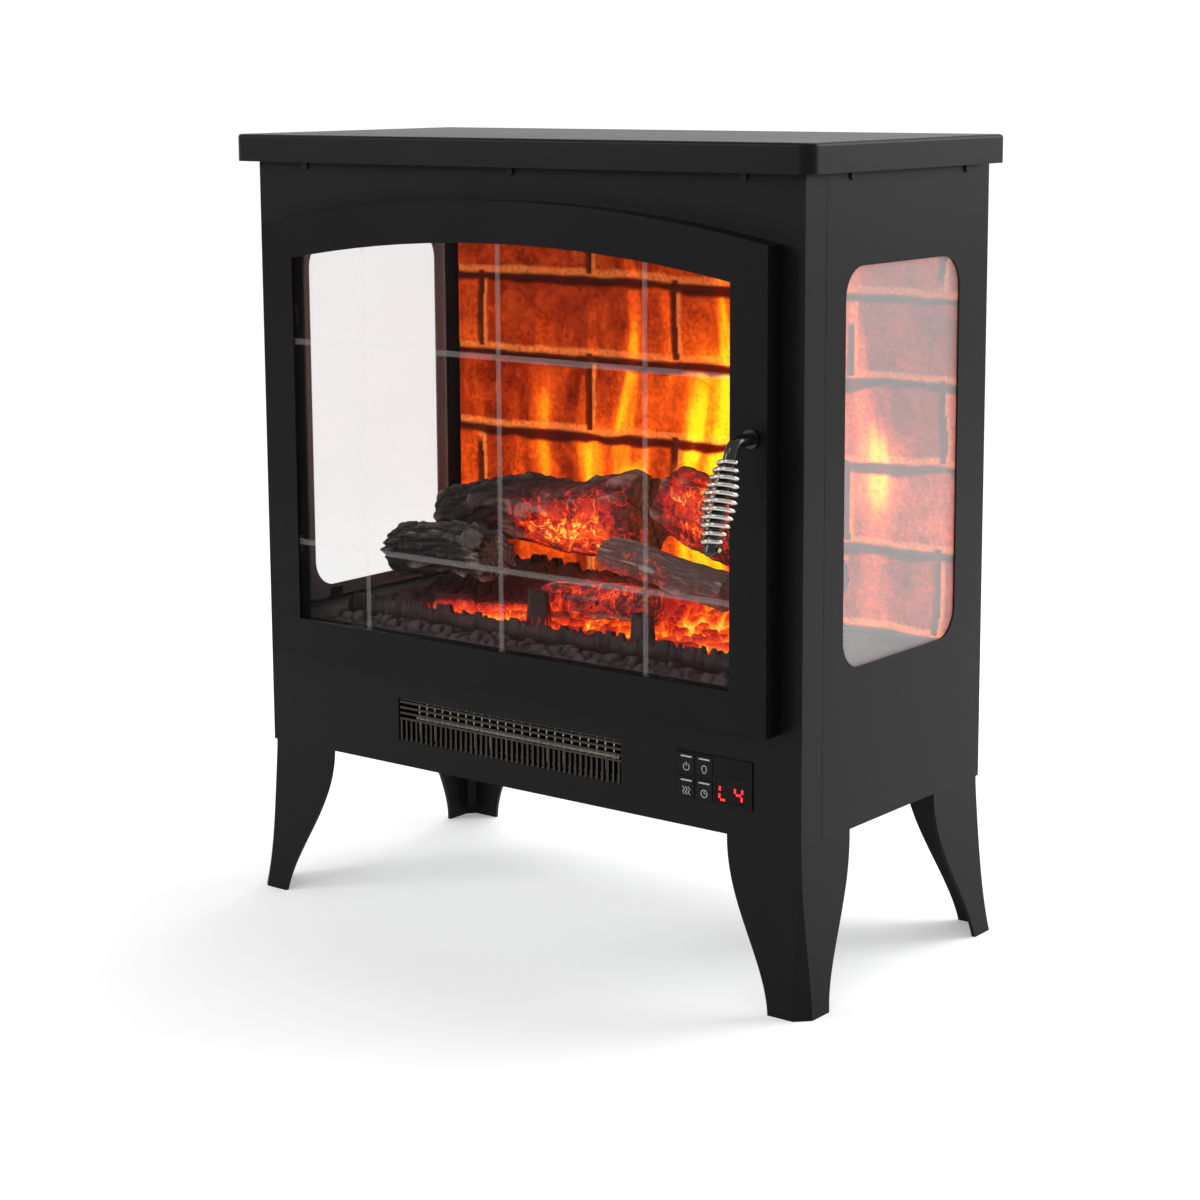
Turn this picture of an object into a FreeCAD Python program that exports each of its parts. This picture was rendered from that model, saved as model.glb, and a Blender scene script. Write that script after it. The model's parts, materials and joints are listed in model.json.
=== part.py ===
"""Free-standing electric fireplace, stove style: a folded steel cabinet on four flared angle legs,
an arched glass door on two butt hinges, a lit log set with a projected flame picture, and a fan
heater behind the grille below the door.  Millimetres.  X to the right, Y to the back, Z up."""
import FreeCAD, Part
import Sketcher
import math
import os
import re

doc = FreeCAD.newDocument("ElectricFireplace")
sheet = doc.addObject("Spreadsheet::Sheet", "Size")

sizes = {
    # cabinet
    "cabinetY": 29.65,       # the cabinet's middle, so that the whole box is centred on the origin
    "halfWidth": 257, "halfDepth": 122, "legHeight": 122, "bodyTop": 589, "topHeight": 610,
    "steel": 1.5, "frontReturn": 25.6, "panelGap": 0.4, "coverDepth": 4,
    "lidSide": 13.5, "lidFront": 15, "lidCorner": 10, "lidEdge": 2.5, "lidFlange": 30,
    # door
    "doorHalf": 238.5, "doorBottom": 201, "doorSideTop": 541.5, "doorApex": 565,
    "doorFront": 139.5, "doorBack": 122.6, "windowHalf": 207.5, "windowBottom": 231,
    "windowSideTop": 515.7, "windowApex": 534, "doorGlassHalf": 213.5, "doorGlassThick": 4,
    "grooveWidth": 4.5, "grooveX": 134, "grooveLow": 293, "grooveHigh": 451,
    "hingeX": 241.7, "hingeY": 126, "knuckle": 3, "pinRadius": 1.5, "pinPlay": 0.05,
    "leafHeight": 36, "hingeLow": 260, "hingeHigh": 490, "leafThick": 1.2,
    # handle
    "handleX": 226, "handleZ": 410, "handleRod": 4.5, "handleOut": 14, "handleBend": 12,
    "handleLean": 20, "handleLength": 68, "coilRadius": 12.5, "coilTop": 7.2, "coilEnd": 5.2,
    "coilTurns": 11, "coilWire": 3, "coilLength": 64,
    # side windows
    "sideFront": -71, "sideBack": 82, "sideLow": 239, "sideHigh": 523.5, "sideCorner": 22,
    "sideLap": 9, "glassThick": 3,
    # firebox
    "deckTop": 228, "ceilingLow": 560, "screenY": 105, "screenThick": 3, "fireHalf": 251,
    "slotHalf": 220, "slotFront": 64, "slotBack": 98,
    # flame effect
    "rotorY": 80, "rotorZ": 206, "rotorShaft": 2, "rotorVane": 14, "rotorHalf": 215,
    # fan heater
    "grilleLeft": -120, "grilleRight": 99, "grilleLow": 142, "grilleHigh": 175.5,
    "grilleBars": 43, "barWidth": 1.7,
    "wheelY": -58, "wheelZ": 164, "wheelRadius": 22, "wheelHalf": 98, "wheelX": -10.5,
    # controls
    "bezelLeft": 149, "bezelRight": 216, "bezelLow": 142.6, "bezelHigh": 177.4,
    "keyWidth": 13.5, "keyHeight": 14.4, "keyLeft": 159.3, "keyPitchX": 15.7,
    "keyLow": 151.2, "keyPitchZ": 17.6, "keyPlay": 0.3, "keyProud": 0.5, "keyTravel": 1,
    # legs
    "legTop": 63, "legFoot": 31.5, "legFlare": 12.5, "legSheet": 3, "legInset": 1, "legChamfer": 10,
}

# logs: start x, y, z, end x, y, z, start radius, end radius
logs = {
    "log_left": (-214, -10, 268, -84, -42, 280, 28, 24),
    "log_back": (-202, 38, 292, 14, 26, 312, 28, 40),
    "log_right": (38, 26, 330, 190, 14, 276, 33, 29),
    "log_split": (6, -18, 288, 132, -30, 274, 15, 18),
    "log_front": (-26, -52, 254, 84, -56, 262, 16, 17),
    "log_stub": (-118, -36, 288, -90, -66, 297, 11, 10.5),
}
for log, numbers in logs.items():
    for field, number in zip(("AtX", "AtY", "AtZ", "ToX", "ToY", "ToZ", "Thick", "Thin"), numbers):
        sizes[log.replace("_", "") + field] = number

for row, (name, number) in enumerate(sizes.items(), 1):
    sheet.set("A%d" % row, name)
    sheet.set("B%d" % row, str(number))
    sheet.setAlias("B%d" % row, name)
doc.recompute()

nodes = {}
alongX = FreeCAD.Rotation(FreeCAD.Vector(0, 1, 0), 90)
alongY = FreeCAD.Rotation(FreeCAD.Vector(1, 0, 0), -90)
upright = FreeCAD.Rotation()


def size(name):
    """A size read from the sheet."""
    return float(sheet.get(name))


def linked(text):
    """The expression with each size named as a cell of the sheet."""
    def cell(match):
        return "Size." + match.group() if match.group() in sizes else match.group()
    return re.sub(r"[A-Za-z]\w*", cell, str(text))


def place(thing, x, y, z, turn=upright):
    """Put a thing at x, y, z, with y counted from the cabinet's middle."""
    thing.Placement = FreeCAD.Placement(FreeCAD.Vector(), turn)
    thing.setExpression("Placement.Base.x", linked(x))
    thing.setExpression("Placement.Base.y", linked("%s + cabinetY" % y))
    thing.setExpression("Placement.Base.z", linked(z))
    return thing


def node(label, thing):
    """Name a finished sub-part."""
    thing.Label = label
    nodes[label] = thing
    return thing


def block(x, y, z):
    """A box between two places along each axis."""
    thing = doc.addObject("Part::Box", "Block")
    for side, (low, high) in zip(("Length", "Width", "Height"), (x, y, z)):
        thing.setExpression(side, linked("(%s) - (%s)" % (high, low)))
    return place(thing, x[0], y[0], z[0])


def rod(radius, length, x, y, z, turn=upright):
    """A cylinder that starts at x, y, z and runs along the turned Z axis."""
    thing = doc.addObject("Part::Cylinder", "Rod")
    thing.setExpression("Radius", linked(radius))
    thing.setExpression("Height", linked(length))
    return place(thing, x, y, z, turn)


def joined(*things):
    thing = doc.addObject("Part::MultiFuse", "Joined")
    thing.Shapes = list(things)
    return thing


def shared(*things):
    thing = doc.addObject("Part::MultiCommon", "Shared")
    thing.Shapes = list(things)
    return thing


def cut(base, *tools):
    thing = doc.addObject("Part::Cut", "Trimmed")
    thing.Base = base
    thing.Tool = tools[0] if len(tools) == 1 else joined(*tools)
    return thing


def group(*things):
    """Separate solids that share a node."""
    thing = doc.addObject("Part::Compound", "Group")
    thing.Links = list(things)
    return thing


def screw(x, y, z, turn, head, headHeight, shank, length):
    """A pan-head screw: the head starts at x, y, z and the shank follows it along the turned Z."""
    axis = turn.multVec(FreeCAD.Vector(0, 0, headHeight))
    return joined(rod(head, headHeight, x, y, z, turn),
                  rod(shank, length, "%s + %g" % (x, axis.x), "%s + %g" % (y, axis.y),
                      "%s + %g" % (z, axis.z), turn))


def solid(shape):
    """A plain feature from a shape worked out here, its y counted from the cabinet's middle."""
    thing = doc.addObject("Part::Feature", "Shaped")
    thing.Shape = shape
    return place(thing, "0", "0", "0")


class Sheetwork:
    """A PartDesign body whose sketches hold polygons bound to the sheet."""

    def __init__(self, role, x, y, z):
        self.body = doc.addObject("PartDesign::Body", "Sheetwork")
        self.role = role
        place(self.body, x, y, z)

    def sketch(self, *outlines):
        made = self.body.newObject("Sketcher::SketchObject", "Outline")
        planes = self.body.Origin.OriginFeatures
        made.AttachmentSupport = [next(plane for plane in planes if plane.Role == self.role)]
        made.MapMode = "FlatFace"
        for outline in outlines:
            self.polygon(made, outline)
        return made

    def polygon(self, made, corners):
        """A closed outline whose corners' x and y are both expressions."""
        first = made.GeometryCount
        spread = [FreeCAD.Vector(math.cos(2 * math.pi * i / len(corners)),
                                 math.sin(2 * math.pi * i / len(corners)), 0)
                  for i in range(len(corners))]
        for i, start in enumerate(spread):
            made.addGeometry(Part.LineSegment(start, spread[(i + 1) % len(spread)]))
        for i, corner in enumerate(corners):
            following = first + (i + 1) % len(corners)
            made.addConstraint(Sketcher.Constraint("Coincident", first + i, 2, following, 1))
            for kind, text in zip(("DistanceX", "DistanceY"), corner):
                index = made.addConstraint(Sketcher.Constraint(kind, -1, 1, first + i, 1, 1.0))
                made.setExpression("Constraints[%d]" % index, linked(text))

    def pad(self, sketch, length, reverse=False):
        made = self.body.newObject("PartDesign::Pad", "Pad")
        made.Profile = sketch
        made.Reversed = reverse
        made.setExpression("Length", linked(length))
        doc.recompute()
        return made

    def pocket(self, sketch, length, reverse=False):
        before = self.body.Shape.Volume
        made = self.body.newObject("PartDesign::Pocket", "Pocket")
        made.Profile = sketch
        made.Reversed = reverse
        made.setExpression("Length", linked(length))
        doc.recompute()
        if self.body.Shape.Volume > before - 1:
            raise RuntimeError("a pocket of %s cut nothing" % self.body.Name)
        return made

    def fillet(self, base, radius, chosen):
        """Round the edges of base that chosen(edge) picks."""
        made = self.body.newObject("PartDesign::Fillet", "Fillet")
        names = ["Edge%d" % (i + 1) for i, edge in enumerate(base.Shape.Edges) if chosen(edge)]
        made.Base = (base, names)
        made.setExpression("Radius", linked(radius))
        doc.recompute()
        return made


def rectangle(x0, x1, y0, y1):
    return [(x0, y0), (x1, y0), (x1, y1), (x0, y1)]


def upright_edge(edge):
    first, last = edge.Vertexes[0].Point, edge.Vertexes[-1].Point
    return abs(first.x - last.x) + abs(first.y - last.y) < 0.01 and abs(first.z - last.z) > 1




# ---- cabinet ----


def top_plate():
    """Folded lid: a shallow box with an inward flange below, its front corners rounded."""
    lid = Sheetwork("XY_Plane", "0", "0", "bodyTop")
    left, right = "-halfWidth - lidSide", "halfWidth + lidSide"
    front, back = "-halfDepth - lidFront", "halfDepth - coverDepth"
    lid.pad(lid.sketch(rectangle(left, right, front, back)), "topHeight - bodyTop")
    slab = lid.body.Tip
    frontEnd = -size("halfDepth") - size("lidFront")
    slab = lid.fillet(slab, "lidCorner",
                      lambda edge: upright_edge(edge) and edge.Vertexes[0].Y < frontEnd + 1)
    thick = size("topHeight") - size("bodyTop")
    lid.fillet(slab, "lidEdge", lambda edge: edge.BoundBox.ZMin > thick - 0.01)
    box = lid.body
    node("top_plate", cut(box,
                          block((left + " + steel", right + " - steel"),
                                (front + " + steel + 8", back + " - steel"),
                                ("bodyTop + steel", "topHeight - lidEdge - 1")),
                          block((left + " + lidFlange", right + " - lidFlange"),
                                (front + " + lidFlange", back + " - lidFlange"),
                                ("bodyTop - 1", "bodyTop + steel + 1"))))


def front_panel():
    """Front sheet with a return down each side, a door window, a grille hole and a control hole."""
    wrap = cut(block(("-halfWidth", "halfWidth"), ("-halfDepth", "-halfDepth + frontReturn"),
                     ("legHeight", "bodyTop")),
               block(("-halfWidth + steel", "halfWidth - steel"),
                     ("-halfDepth + steel", "-halfDepth + frontReturn + 1"),
                     ("legHeight - 1", "bodyTop + 1")))
    holes = [block((low, high), ("-halfDepth - 1", "-halfDepth + steel + 1"), (bottom, top))
             for low, high, bottom, top in (
                 ("grilleLeft", "grilleRight", "grilleLow", "grilleHigh"),
                 ("bezelLeft + 2", "bezelRight - 2", "bezelLow + 1.2", "bezelHigh - 1.2"))]
    node("front_panel", cut(wrap, arch("windowHalf + 6", "windowBottom - 4", "windowSideTop + 5",
                                       "windowApex + 5", "-halfDepth - 1",
                                       "-halfDepth + steel + 1"), *holes))


def arch(half, bottom, sideTop, apex, front, back):
    """A rectangle with a shallow arc on top, run from front to back."""
    column = block(("-(%s)" % half, half), (front, back), (bottom, "%s + 10" % apex))
    rise = "((%s) - (%s))" % (apex, sideTop)
    radius = "((%s) * (%s) + %s * %s) / (2 * %s)" % (half, half, rise, rise, rise)
    disc = rod(radius, "(%s) - (%s)" % (back, front), "0", front, "(%s) - %s" % (apex, radius), alongY)
    return shared(column, disc)


def side_panels():
    """Side sheets with a round-cornered window and a flange at the back."""
    for label, left in (("left_side_panel", True), ("right_side_panel", False)):
        front, back = "-halfDepth + frontReturn + panelGap", "halfDepth - coverDepth"
        wall = ("-halfWidth", "-halfWidth + steel") if left else ("halfWidth - steel", "halfWidth")
        lip = ("-halfWidth", "-halfWidth + 14") if left else ("halfWidth - 14", "halfWidth")
        window = side_window(wall[0] + " - 1", "steel + 2", 0)
        node(label, joined(cut(block(wall, (front, back), ("legHeight", "bodyTop")), window),
                           block(lip, (back + " - steel", back), ("legHeight", "bodyTop"))))


def side_window(x, thick, lap):
    """The side window's outline, run along X, and larger all round by lap."""
    low, high = "sideLow - %g" % lap, "sideHigh + %g" % lap
    front, back = "sideFront - %g" % lap, "sideBack + %g" % lap
    corner = "sideCorner" if lap == 0 else "4"
    end = "%s + %s" % (x, thick)
    bars = [block((x, end), (front + " + " + corner, back + " - " + corner), (low, high)),
            block((x, end), (front, back), (low + " + " + corner, high + " - " + corner))]
    discs = [rod(corner, thick, x, y, z, alongX)
             for y in (front + " + " + corner, back + " - " + corner)
             for z in (low + " + " + corner, high + " - " + corner)]
    return joined(*bars, *discs)


def back_cover():
    """Shallow rear tray with two rows of intake slots and the hole for the cord gland."""
    tray = cut(block(("-halfWidth", "halfWidth"), ("halfDepth - coverDepth", "halfDepth"),
                     ("legHeight", "bodyTop")),
               block(("-halfWidth + steel", "halfWidth - steel"),
                     ("halfDepth - coverDepth - 1", "halfDepth - steel"),
                     ("legHeight + steel", "bodyTop - steel")))
    slots = [block(("%g" % (x - 2), "%g" % (x + 2)), ("halfDepth - coverDepth - 1", "halfDepth + 1"),
                   (low, low + " + 22"))
             for low in ("legHeight + 20", "legHeight + 50") for x in range(-132, 133, 12)]
    gland = rod("8", "coverDepth + 4", "208", "halfDepth - coverDepth - 2", "legHeight + 28", alongY)
    node("back_cover", cut(tray, gland, *slots))
    bush = joined(rod("8", "coverDepth", "208", "halfDepth - coverDepth", "legHeight + 28", alongY),
                  rod("11", "2.5", "208", "halfDepth", "legHeight + 28", alongY))
    node("cord_gland", cut(bush, rod("3.6", "20", "208", "halfDepth - 12", "legHeight + 28", alongY)))
    places = [(x, z) for x in ("-halfWidth + 7", "halfWidth - 7")
              for z in ("legHeight + 12", "legHeight + 160", "bodyTop - 160", "bodyTop - 12")]
    inwards = FreeCAD.Rotation(FreeCAD.Vector(1, 0, 0), 90)
    node("back_cover_screws", group(*[screw(x, "halfDepth + 1.8", z, inwards, "3.4", 1.8, "1.5", "8")
                                      for x, z in places]))


def base_plate():
    """Floor pan of the cabinet, cut for the fan's intake below."""
    pan = Sheetwork("XY_Plane", "0", "0", "legHeight")
    edge = rectangle("-halfWidth + steel", "halfWidth - steel",
                     "-halfDepth + steel", "halfDepth - coverDepth - steel")
    pan.pad(pan.sketch(edge), "steel")
    slots = [rectangle("%g" % (x - 2), "%g" % (x + 2), "30", "70") for x in range(-96, 97, 12)]
    pan.pocket(pan.sketch(*slots), "steel", True)
    node("base_plate", pan.body)


def leg(label, sideX, sideY):
    """Bent angle leg: both arms narrow and lean outwards on the way down to a chamfered foot."""
    height, sheetThick = size("legHeight"), size("legSheet")
    count = 9
    wires = []
    for i in range(count):
        t = i / (count - 1)
        ease = (3 * t ** 2 - 2 * t ** 3) ** 1.25
        width = size("legTop") + (size("legFoot") - size("legTop")) * ease
        lean = size("legFlare") * t ** 1.5
        x = size("halfWidth") - size("legInset") + lean
        y = size("halfDepth") - size("legInset") + lean
        bevel = 0.8 + (size("legChamfer") - 0.8) * ease
        inner = sheetThick + bevel * 0.6
        corners = [(bevel, 0), (width, 0), (width, sheetThick), (inner, sheetThick),
                   (sheetThick, inner), (sheetThick, width), (0, width), (0, bevel)]
        points = [FreeCAD.Vector(sideX * (x - u), sideY * (y - v), height * (1 - t))
                  for u, v in corners]
        wires.append(Part.makePolygon(points + points[:1]))
    arms = Part.makeLoft(wires, True, False)
    start = size("legInset") + 1
    flange = Part.makeBox(46, 46, 2)
    flange.translate(FreeCAD.Vector(sideX * (size("halfWidth") - start - 23) - 23,
                                    sideY * (size("halfDepth") - start - 23) - 23, height - 2))
    node(label, solid(arms.fuse(flange)))


def legs():
    for label, sideX, sideY in (("leg_front_left", -1, -1), ("leg_front_right", 1, -1),
                                ("leg_rear_left", -1, 1), ("leg_rear_right", 1, 1)):
        leg(label, sideX, sideY)
    bolts = []
    for x in ("-halfWidth + %g", "halfWidth - %g"):
        for y in ("-halfDepth + %g", "halfDepth - %g"):
            for across, along in ((18, 36), (36, 18)):
                bolts.append(screw(x % across, y % along, "legHeight - 5.2", upright,
                                   "4.5", 3.2, "2", "9"))
    node("leg_screws", group(*bolts))


def lid_screws():
    """Low round screws just under the lid's edge."""
    inwards = alongY
    heads = [screw(x, "-halfDepth - 1.6", "bodyTop - 3.1", inwards, "3", 1.6, "1.5", "6")
             for x in ("-207", "0", "207")]
    for x, turn in (("-halfWidth - 1.6", alongX), ("halfWidth + 1.6", alongX.inverted())):
        heads += [screw(x, y, "bodyTop - 3.1", turn, "3", 1.6, "1.5", "6") for y in ("-65", "89")]
    node("lid_screws", group(*heads))


def side_glasses():
    """Flat panes inside the side windows, each held by four bent clips."""
    clips = []
    for label, left in (("left_side_glass", True), ("right_side_glass", False)):
        x = "-halfWidth + steel" if left else "halfWidth - steel - glassThick"
        node(label, side_window(x, "glassThick", size("sideLap")))
        inner = "-halfWidth + steel + glassThick" if left else "halfWidth - steel - glassThick"
        sign = 1 if left else -1
        for y in ("sideFront + 20", "sideBack - 20"):
            for low, foot in (("sideLow - sideLap - 12", "sideLow - sideLap - 12"),
                              ("sideHigh + sideLap - 8", "sideHigh + sideLap")):
                tab = sorted_pair(inner, "%s + %g" % (inner, 1.2 * sign), sign)
                root = sorted_pair(inner, "%s - glassThick * %d" % (inner, sign), -sign)
                clips.append(joined(block(tab, (y + " - 7", y + " + 7"), (low, low + " + 20")),
                                    block(root, (y + " - 7", y + " + 7"), (foot, foot + " + 11.9"))))
    node("side_glass_clips", group(*clips))


def sorted_pair(first, second, sign):
    return (first, second) if sign > 0 else (second, first)


# ---- door ----


def door():
    """Arched tray door with a bevelled pane behind its front sheet."""
    outer = arch("doorHalf", "doorBottom", "doorSideTop", "doorApex", "-doorFront", "-doorBack")
    hollow = arch("doorHalf - steel", "doorBottom + steel", "doorSideTop - steel",
                  "doorApex - steel", "-doorFront + steel", "-doorBack + 1")
    window = arch("windowHalf", "windowBottom", "windowSideTop", "windowApex",
                  "-doorFront - 1", "-doorBack + 1")
    bolt = rod("handleRod - 0.5", "4", "handleX", "-doorFront - 1", "handleZ", alongY)
    node("door_frame", cut(outer, hollow, window, bolt))
    pane = arch("doorGlassHalf", "windowBottom - 6", "windowSideTop + 5", "windowApex + 5",
                "-doorFront + steel", "-doorFront + steel + doorGlassThick")
    grooves = []
    diagonal = FreeCAD.Rotation(FreeCAD.Vector(0, 0, 1), 45)
    for x in ("-grooveX", "0", "grooveX"):
        bar = block(("0", "grooveWidth / sqrt(2)"), ("0", "grooveWidth / sqrt(2)"), ("0", "340"))
        grooves.append(place(bar, x, "-doorFront + steel - grooveWidth / 2", "windowBottom - 20",
                             diagonal))
    sloped = FreeCAD.Rotation(FreeCAD.Vector(1, 0, 0), 45)
    for z in ("grooveLow", "grooveHigh"):
        bar = block(("0", "440"), ("0", "grooveWidth / sqrt(2)"), ("0", "grooveWidth / sqrt(2)"))
        grooves.append(place(bar, "-220", "-doorFront + steel", z + " - grooveWidth / 2", sloped))
    node("door_glass", cut(pane, *grooves))
    glassBack = "-doorFront + steel + doorGlassThick"
    clips = [joined(block((x + " - 7", x + " + 7"), (glassBack, glassBack + " + 1.2"), (low, high)),
                    block((x + " - 7", x + " + 7"), ("-doorFront + steel", glassBack), foot))
             for x in ("-150", "0", "150")
             for low, high, foot in (("windowBottom - 22", "windowBottom + 0",
                                      ("windowBottom - 22", "windowBottom - 8")),)]
    for side in (1, -1):
        for z in ("290", "470"):
            foot = ("216", "222") if side > 0 else ("-222", "-216")
            tab = ("208", "222") if side > 0 else ("-222", "-208")
            clips.append(joined(block(tab, (glassBack, glassBack + " + 1.2"),
                                      (z + " - 7", z + " + 7")),
                                block(foot, ("-doorFront + steel", glassBack),
                                      (z + " - 7", z + " + 7"))))
    node("door_glass_clips", group(*clips))


def hinges():
    """Two butt hinges left of the door: outer knuckles on the cabinet, the middle one on the door."""
    fixed, moving, pins, screws = [], [], [], []
    for middle in ("hingeLow", "hingeHigh"):
        low, high = middle + " - leafHeight / 2", middle + " + leafHeight / 2"
        plate = block(("-halfWidth + 3", "-hingeX"), ("-halfDepth - leafThick", "-halfDepth"),
                      (low, high))
        bore = rod("pinRadius", "leafHeight + 4", "-hingeX", "-hingeY", low + " - 2")
        barrel = rod("knuckle", "leafHeight", "-hingeX", "-hingeY", low)
        room = block(("-hingeX - 4", "-hingeX + 4"), ("-hingeY - 4", "-hingeY + 4"),
                     (middle + " - leafHeight / 6 - 0.3", middle + " + leafHeight / 6 + 0.3"))
        fixed.append(cut(joined(plate, barrel), bore, room))
        wing = block(("-doorHalf - leafThick", "-doorHalf"), ("-hingeY - 11", "-hingeY"),
                     (middle + " - leafHeight / 6", middle + " + leafHeight / 6"))
        eye = rod("knuckle", "leafHeight / 3", "-hingeX", "-hingeY", middle + " - leafHeight / 6")
        hole = rod("pinRadius + pinPlay", "leafHeight", "-hingeX", "-hingeY", low)
        moving.append(cut(joined(wing, eye), hole))
        pins.append(joined(rod("pinRadius", "leafHeight + 1", "-hingeX", "-hingeY", low),
                           rod("2.4", "1.2", "-hingeX", "-hingeY", high)))
        screws += [screw("-hingeX - 7", "-halfDepth - leafThick - 1", z, alongY, "2.2", 1, "1", "4")
                   for z in (low + " + 6", high + " - 6")]
    node("hinge_frame_leaves", group(*fixed))
    node("hinge_door_leaves", group(*moving))
    node("hinge_pins", group(*pins))
    node("hinge_screws", group(*screws))


def catch():
    """Magnet on the cabinet and a steel plate in the door's hollow edge."""
    node("magnet_catch", block(("226.5", "235.5"), ("-doorBack - 8", "-halfDepth"), ("300", "330")))
    node("door_strike_plate", block(("226.5", "235.5"), ("-doorFront + steel", "-doorBack - 8.4"),
                                    ("302", "328")))


def handle():
    """Bent rod through the door's edge, with a barrel coil that stays cool, and a nut inside."""
    lean = math.radians(90 - size("handleLean"))
    bend, out = size("handleBend"), size("handleOut")
    x, z, face = size("handleX"), size("handleZ"), -size("doorFront")
    thick = size("handleRod")

    def at(outward, down):
        return FreeCAD.Vector(x, face - outward, z - down)

    middle = at(out + bend * math.sin(lean / 2), bend * (1 - math.cos(lean / 2)))
    turned = (out + bend * math.sin(lean), bend * (1 - math.cos(lean)))
    run = (math.cos(lean), math.sin(lean))
    tip = at(turned[0] + run[0] * size("handleLength"), turned[1] + run[1] * size("handleLength"))
    path = Part.Wire([Part.LineSegment(at(0, 0), at(out, 0)).toShape(),
                      Part.Arc(at(out, 0), middle, at(*turned)).toShape(),
                      Part.LineSegment(at(*turned), tip).toShape()])
    section = Part.Wire(Part.Circle(at(0, 0), FreeCAD.Vector(0, -1, 0), thick).toShape())
    bar = path.makePipeShell([section], True, True)
    down = tip - at(*turned)
    point = Part.makeCone(thick, 2.6, 2.5, tip, down)
    neck = Part.makeCylinder(thick - 0.5, 10, at(-9, 0), FreeCAD.Vector(0, -1, 0))
    collar = Part.makeCylinder(thick + 2.2, 2.5, at(0, 0), FreeCAD.Vector(0, -1, 0))
    node("handle_rod", solid(bar.fuse([point, neck, collar]).removeSplitter()))

    start = at(turned[0] + run[0] * 3, turned[1] + run[1] * 3)
    node("handle_coil", coil(start, down))
    across = [FreeCAD.Vector(x + 6.2 * math.cos(i * math.pi / 3), face + size("steel"),
                             z + 6.2 * math.sin(i * math.pi / 3)) for i in range(7)]
    hexagon = Part.Face(Part.makePolygon(across)).extrude(FreeCAD.Vector(0, 4.5, 0))
    bore = Part.makeCylinder(thick - 0.5, 20, at(5, 0), FreeCAD.Vector(0, 1, 0))
    node("handle_nut", solid(hexagon.cut(bore)))


def coil(start, down):
    """Barrel of touching wire turns, drawn as one ridged sleeve round the rod."""
    turns, wire, length = int(size("coilTurns")), size("coilWire") / 2, size("coilLength")
    ends = (size("coilTop"), size("coilEnd"))
    pitch = length / turns
    inside = size("handleRod") + 0.02

    def outside(t):
        """The envelope's radius: a parabola through both ends and the widest place."""
        base = ends[0] + (ends[1] - ends[0]) * t
        return base + (size("coilRadius") - (ends[0] + ends[1]) / 2) * 4 * t * (1 - t)

    edges = []
    before = FreeCAD.Vector(outside(0) - wire, 0, 0)
    for i in range(turns):
        crest = FreeCAD.Vector(outside((i + 0.5) / turns), 0, (i + 0.5) * pitch)
        after = FreeCAD.Vector(max(outside((i + 1) / turns) - wire, inside + 0.4), 0, (i + 1) * pitch)
        edges.append(Part.Arc(before, crest, after).toShape())
        before = after
    corners = [before, FreeCAD.Vector(inside, 0, length), FreeCAD.Vector(inside, 0, 0),
               edges[0].Vertexes[0].Point]
    edges += [Part.LineSegment(a, b).toShape() for a, b in zip(corners, corners[1:])]
    sleeve = Part.Face(Part.Wire(edges)).revolve(FreeCAD.Vector(), FreeCAD.Vector(0, 0, 1), 360)
    seat = FreeCAD.Placement(start, FreeCAD.Rotation(FreeCAD.Vector(0, 0, 1), down))
    return solid(sleeve.transformed(seat.Matrix, copy=True))


# ---- firebox ----


def firebox():
    """Brick-faced flame screen, the deck under the log set, and the ceiling."""
    node("brick_screen", block(("-250", "250"), ("screenY", "screenY + screenThick"),
                               ("deckTop", "ceilingLow")))
    deck = Sheetwork("XY_Plane", "0", "0", "deckTop - steel")
    deck.pad(deck.sketch(rectangle("-fireHalf", "fireHalf", "-halfDepth + steel",
                                   "halfDepth - coverDepth - steel")), "steel")
    deck.pocket(deck.sketch(rectangle("-slotHalf", "slotHalf", "slotFront", "slotBack")), "steel", True)
    lamps = [rectangle("%g" % (x - 9), "%g" % (x + 9), "-60", "-42") for x in range(-180, 181, 40)]
    deck.pocket(deck.sketch(*lamps), "steel", True)
    node("firebox_floor", deck.body)
    node("firebox_ceiling", block(("-fireHalf", "fireHalf"),
                                  ("-halfDepth + steel", "screenY + screenThick"),
                                  ("ceilingLow", "ceilingLow + steel")))
    bed = joined(block(("-205", "205"), ("-92", "58"), ("deckTop", "deckTop + 16")),
                 block(("-206", "150"), ("12", "57"), ("deckTop", "deckTop + 40")),
                 block(("-205", "205"), ("-92", "-86"), ("deckTop", "deckTop + 22")),
                 block(("-24", "-6"), ("-84", "-68"), ("deckTop", "deckTop + 42")),
                 block(("78", "92"), ("-84", "-68"), ("deckTop", "deckTop + 34")))
    node("ember_bed", bed)
    node("coal_strip", block(("-205", "205"), ("-118", "-93"), ("deckTop", "deckTop + 11")))
    for label in logs:
        node(label, log_piece(label.replace("_", "")))


def log_piece(key):
    """A tapered round, rounded over at both ends."""
    ends = [FreeCAD.Vector(*[size(key + end + axis) for axis in "XYZ"]) for end in ("At", "To")]
    thick, thin = size(key + "Thick"), size(key + "Thin")
    along = ends[1] - ends[0]
    body = Part.makeCone(thick, thin, along.Length, ends[0], along)
    rims = [edge for edge in body.Edges if isinstance(edge.Curve, Part.Circle)]
    return solid(body.makeFillet(min(thick, thin) * 0.25, rims))


# ---- flame effect ----


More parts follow.
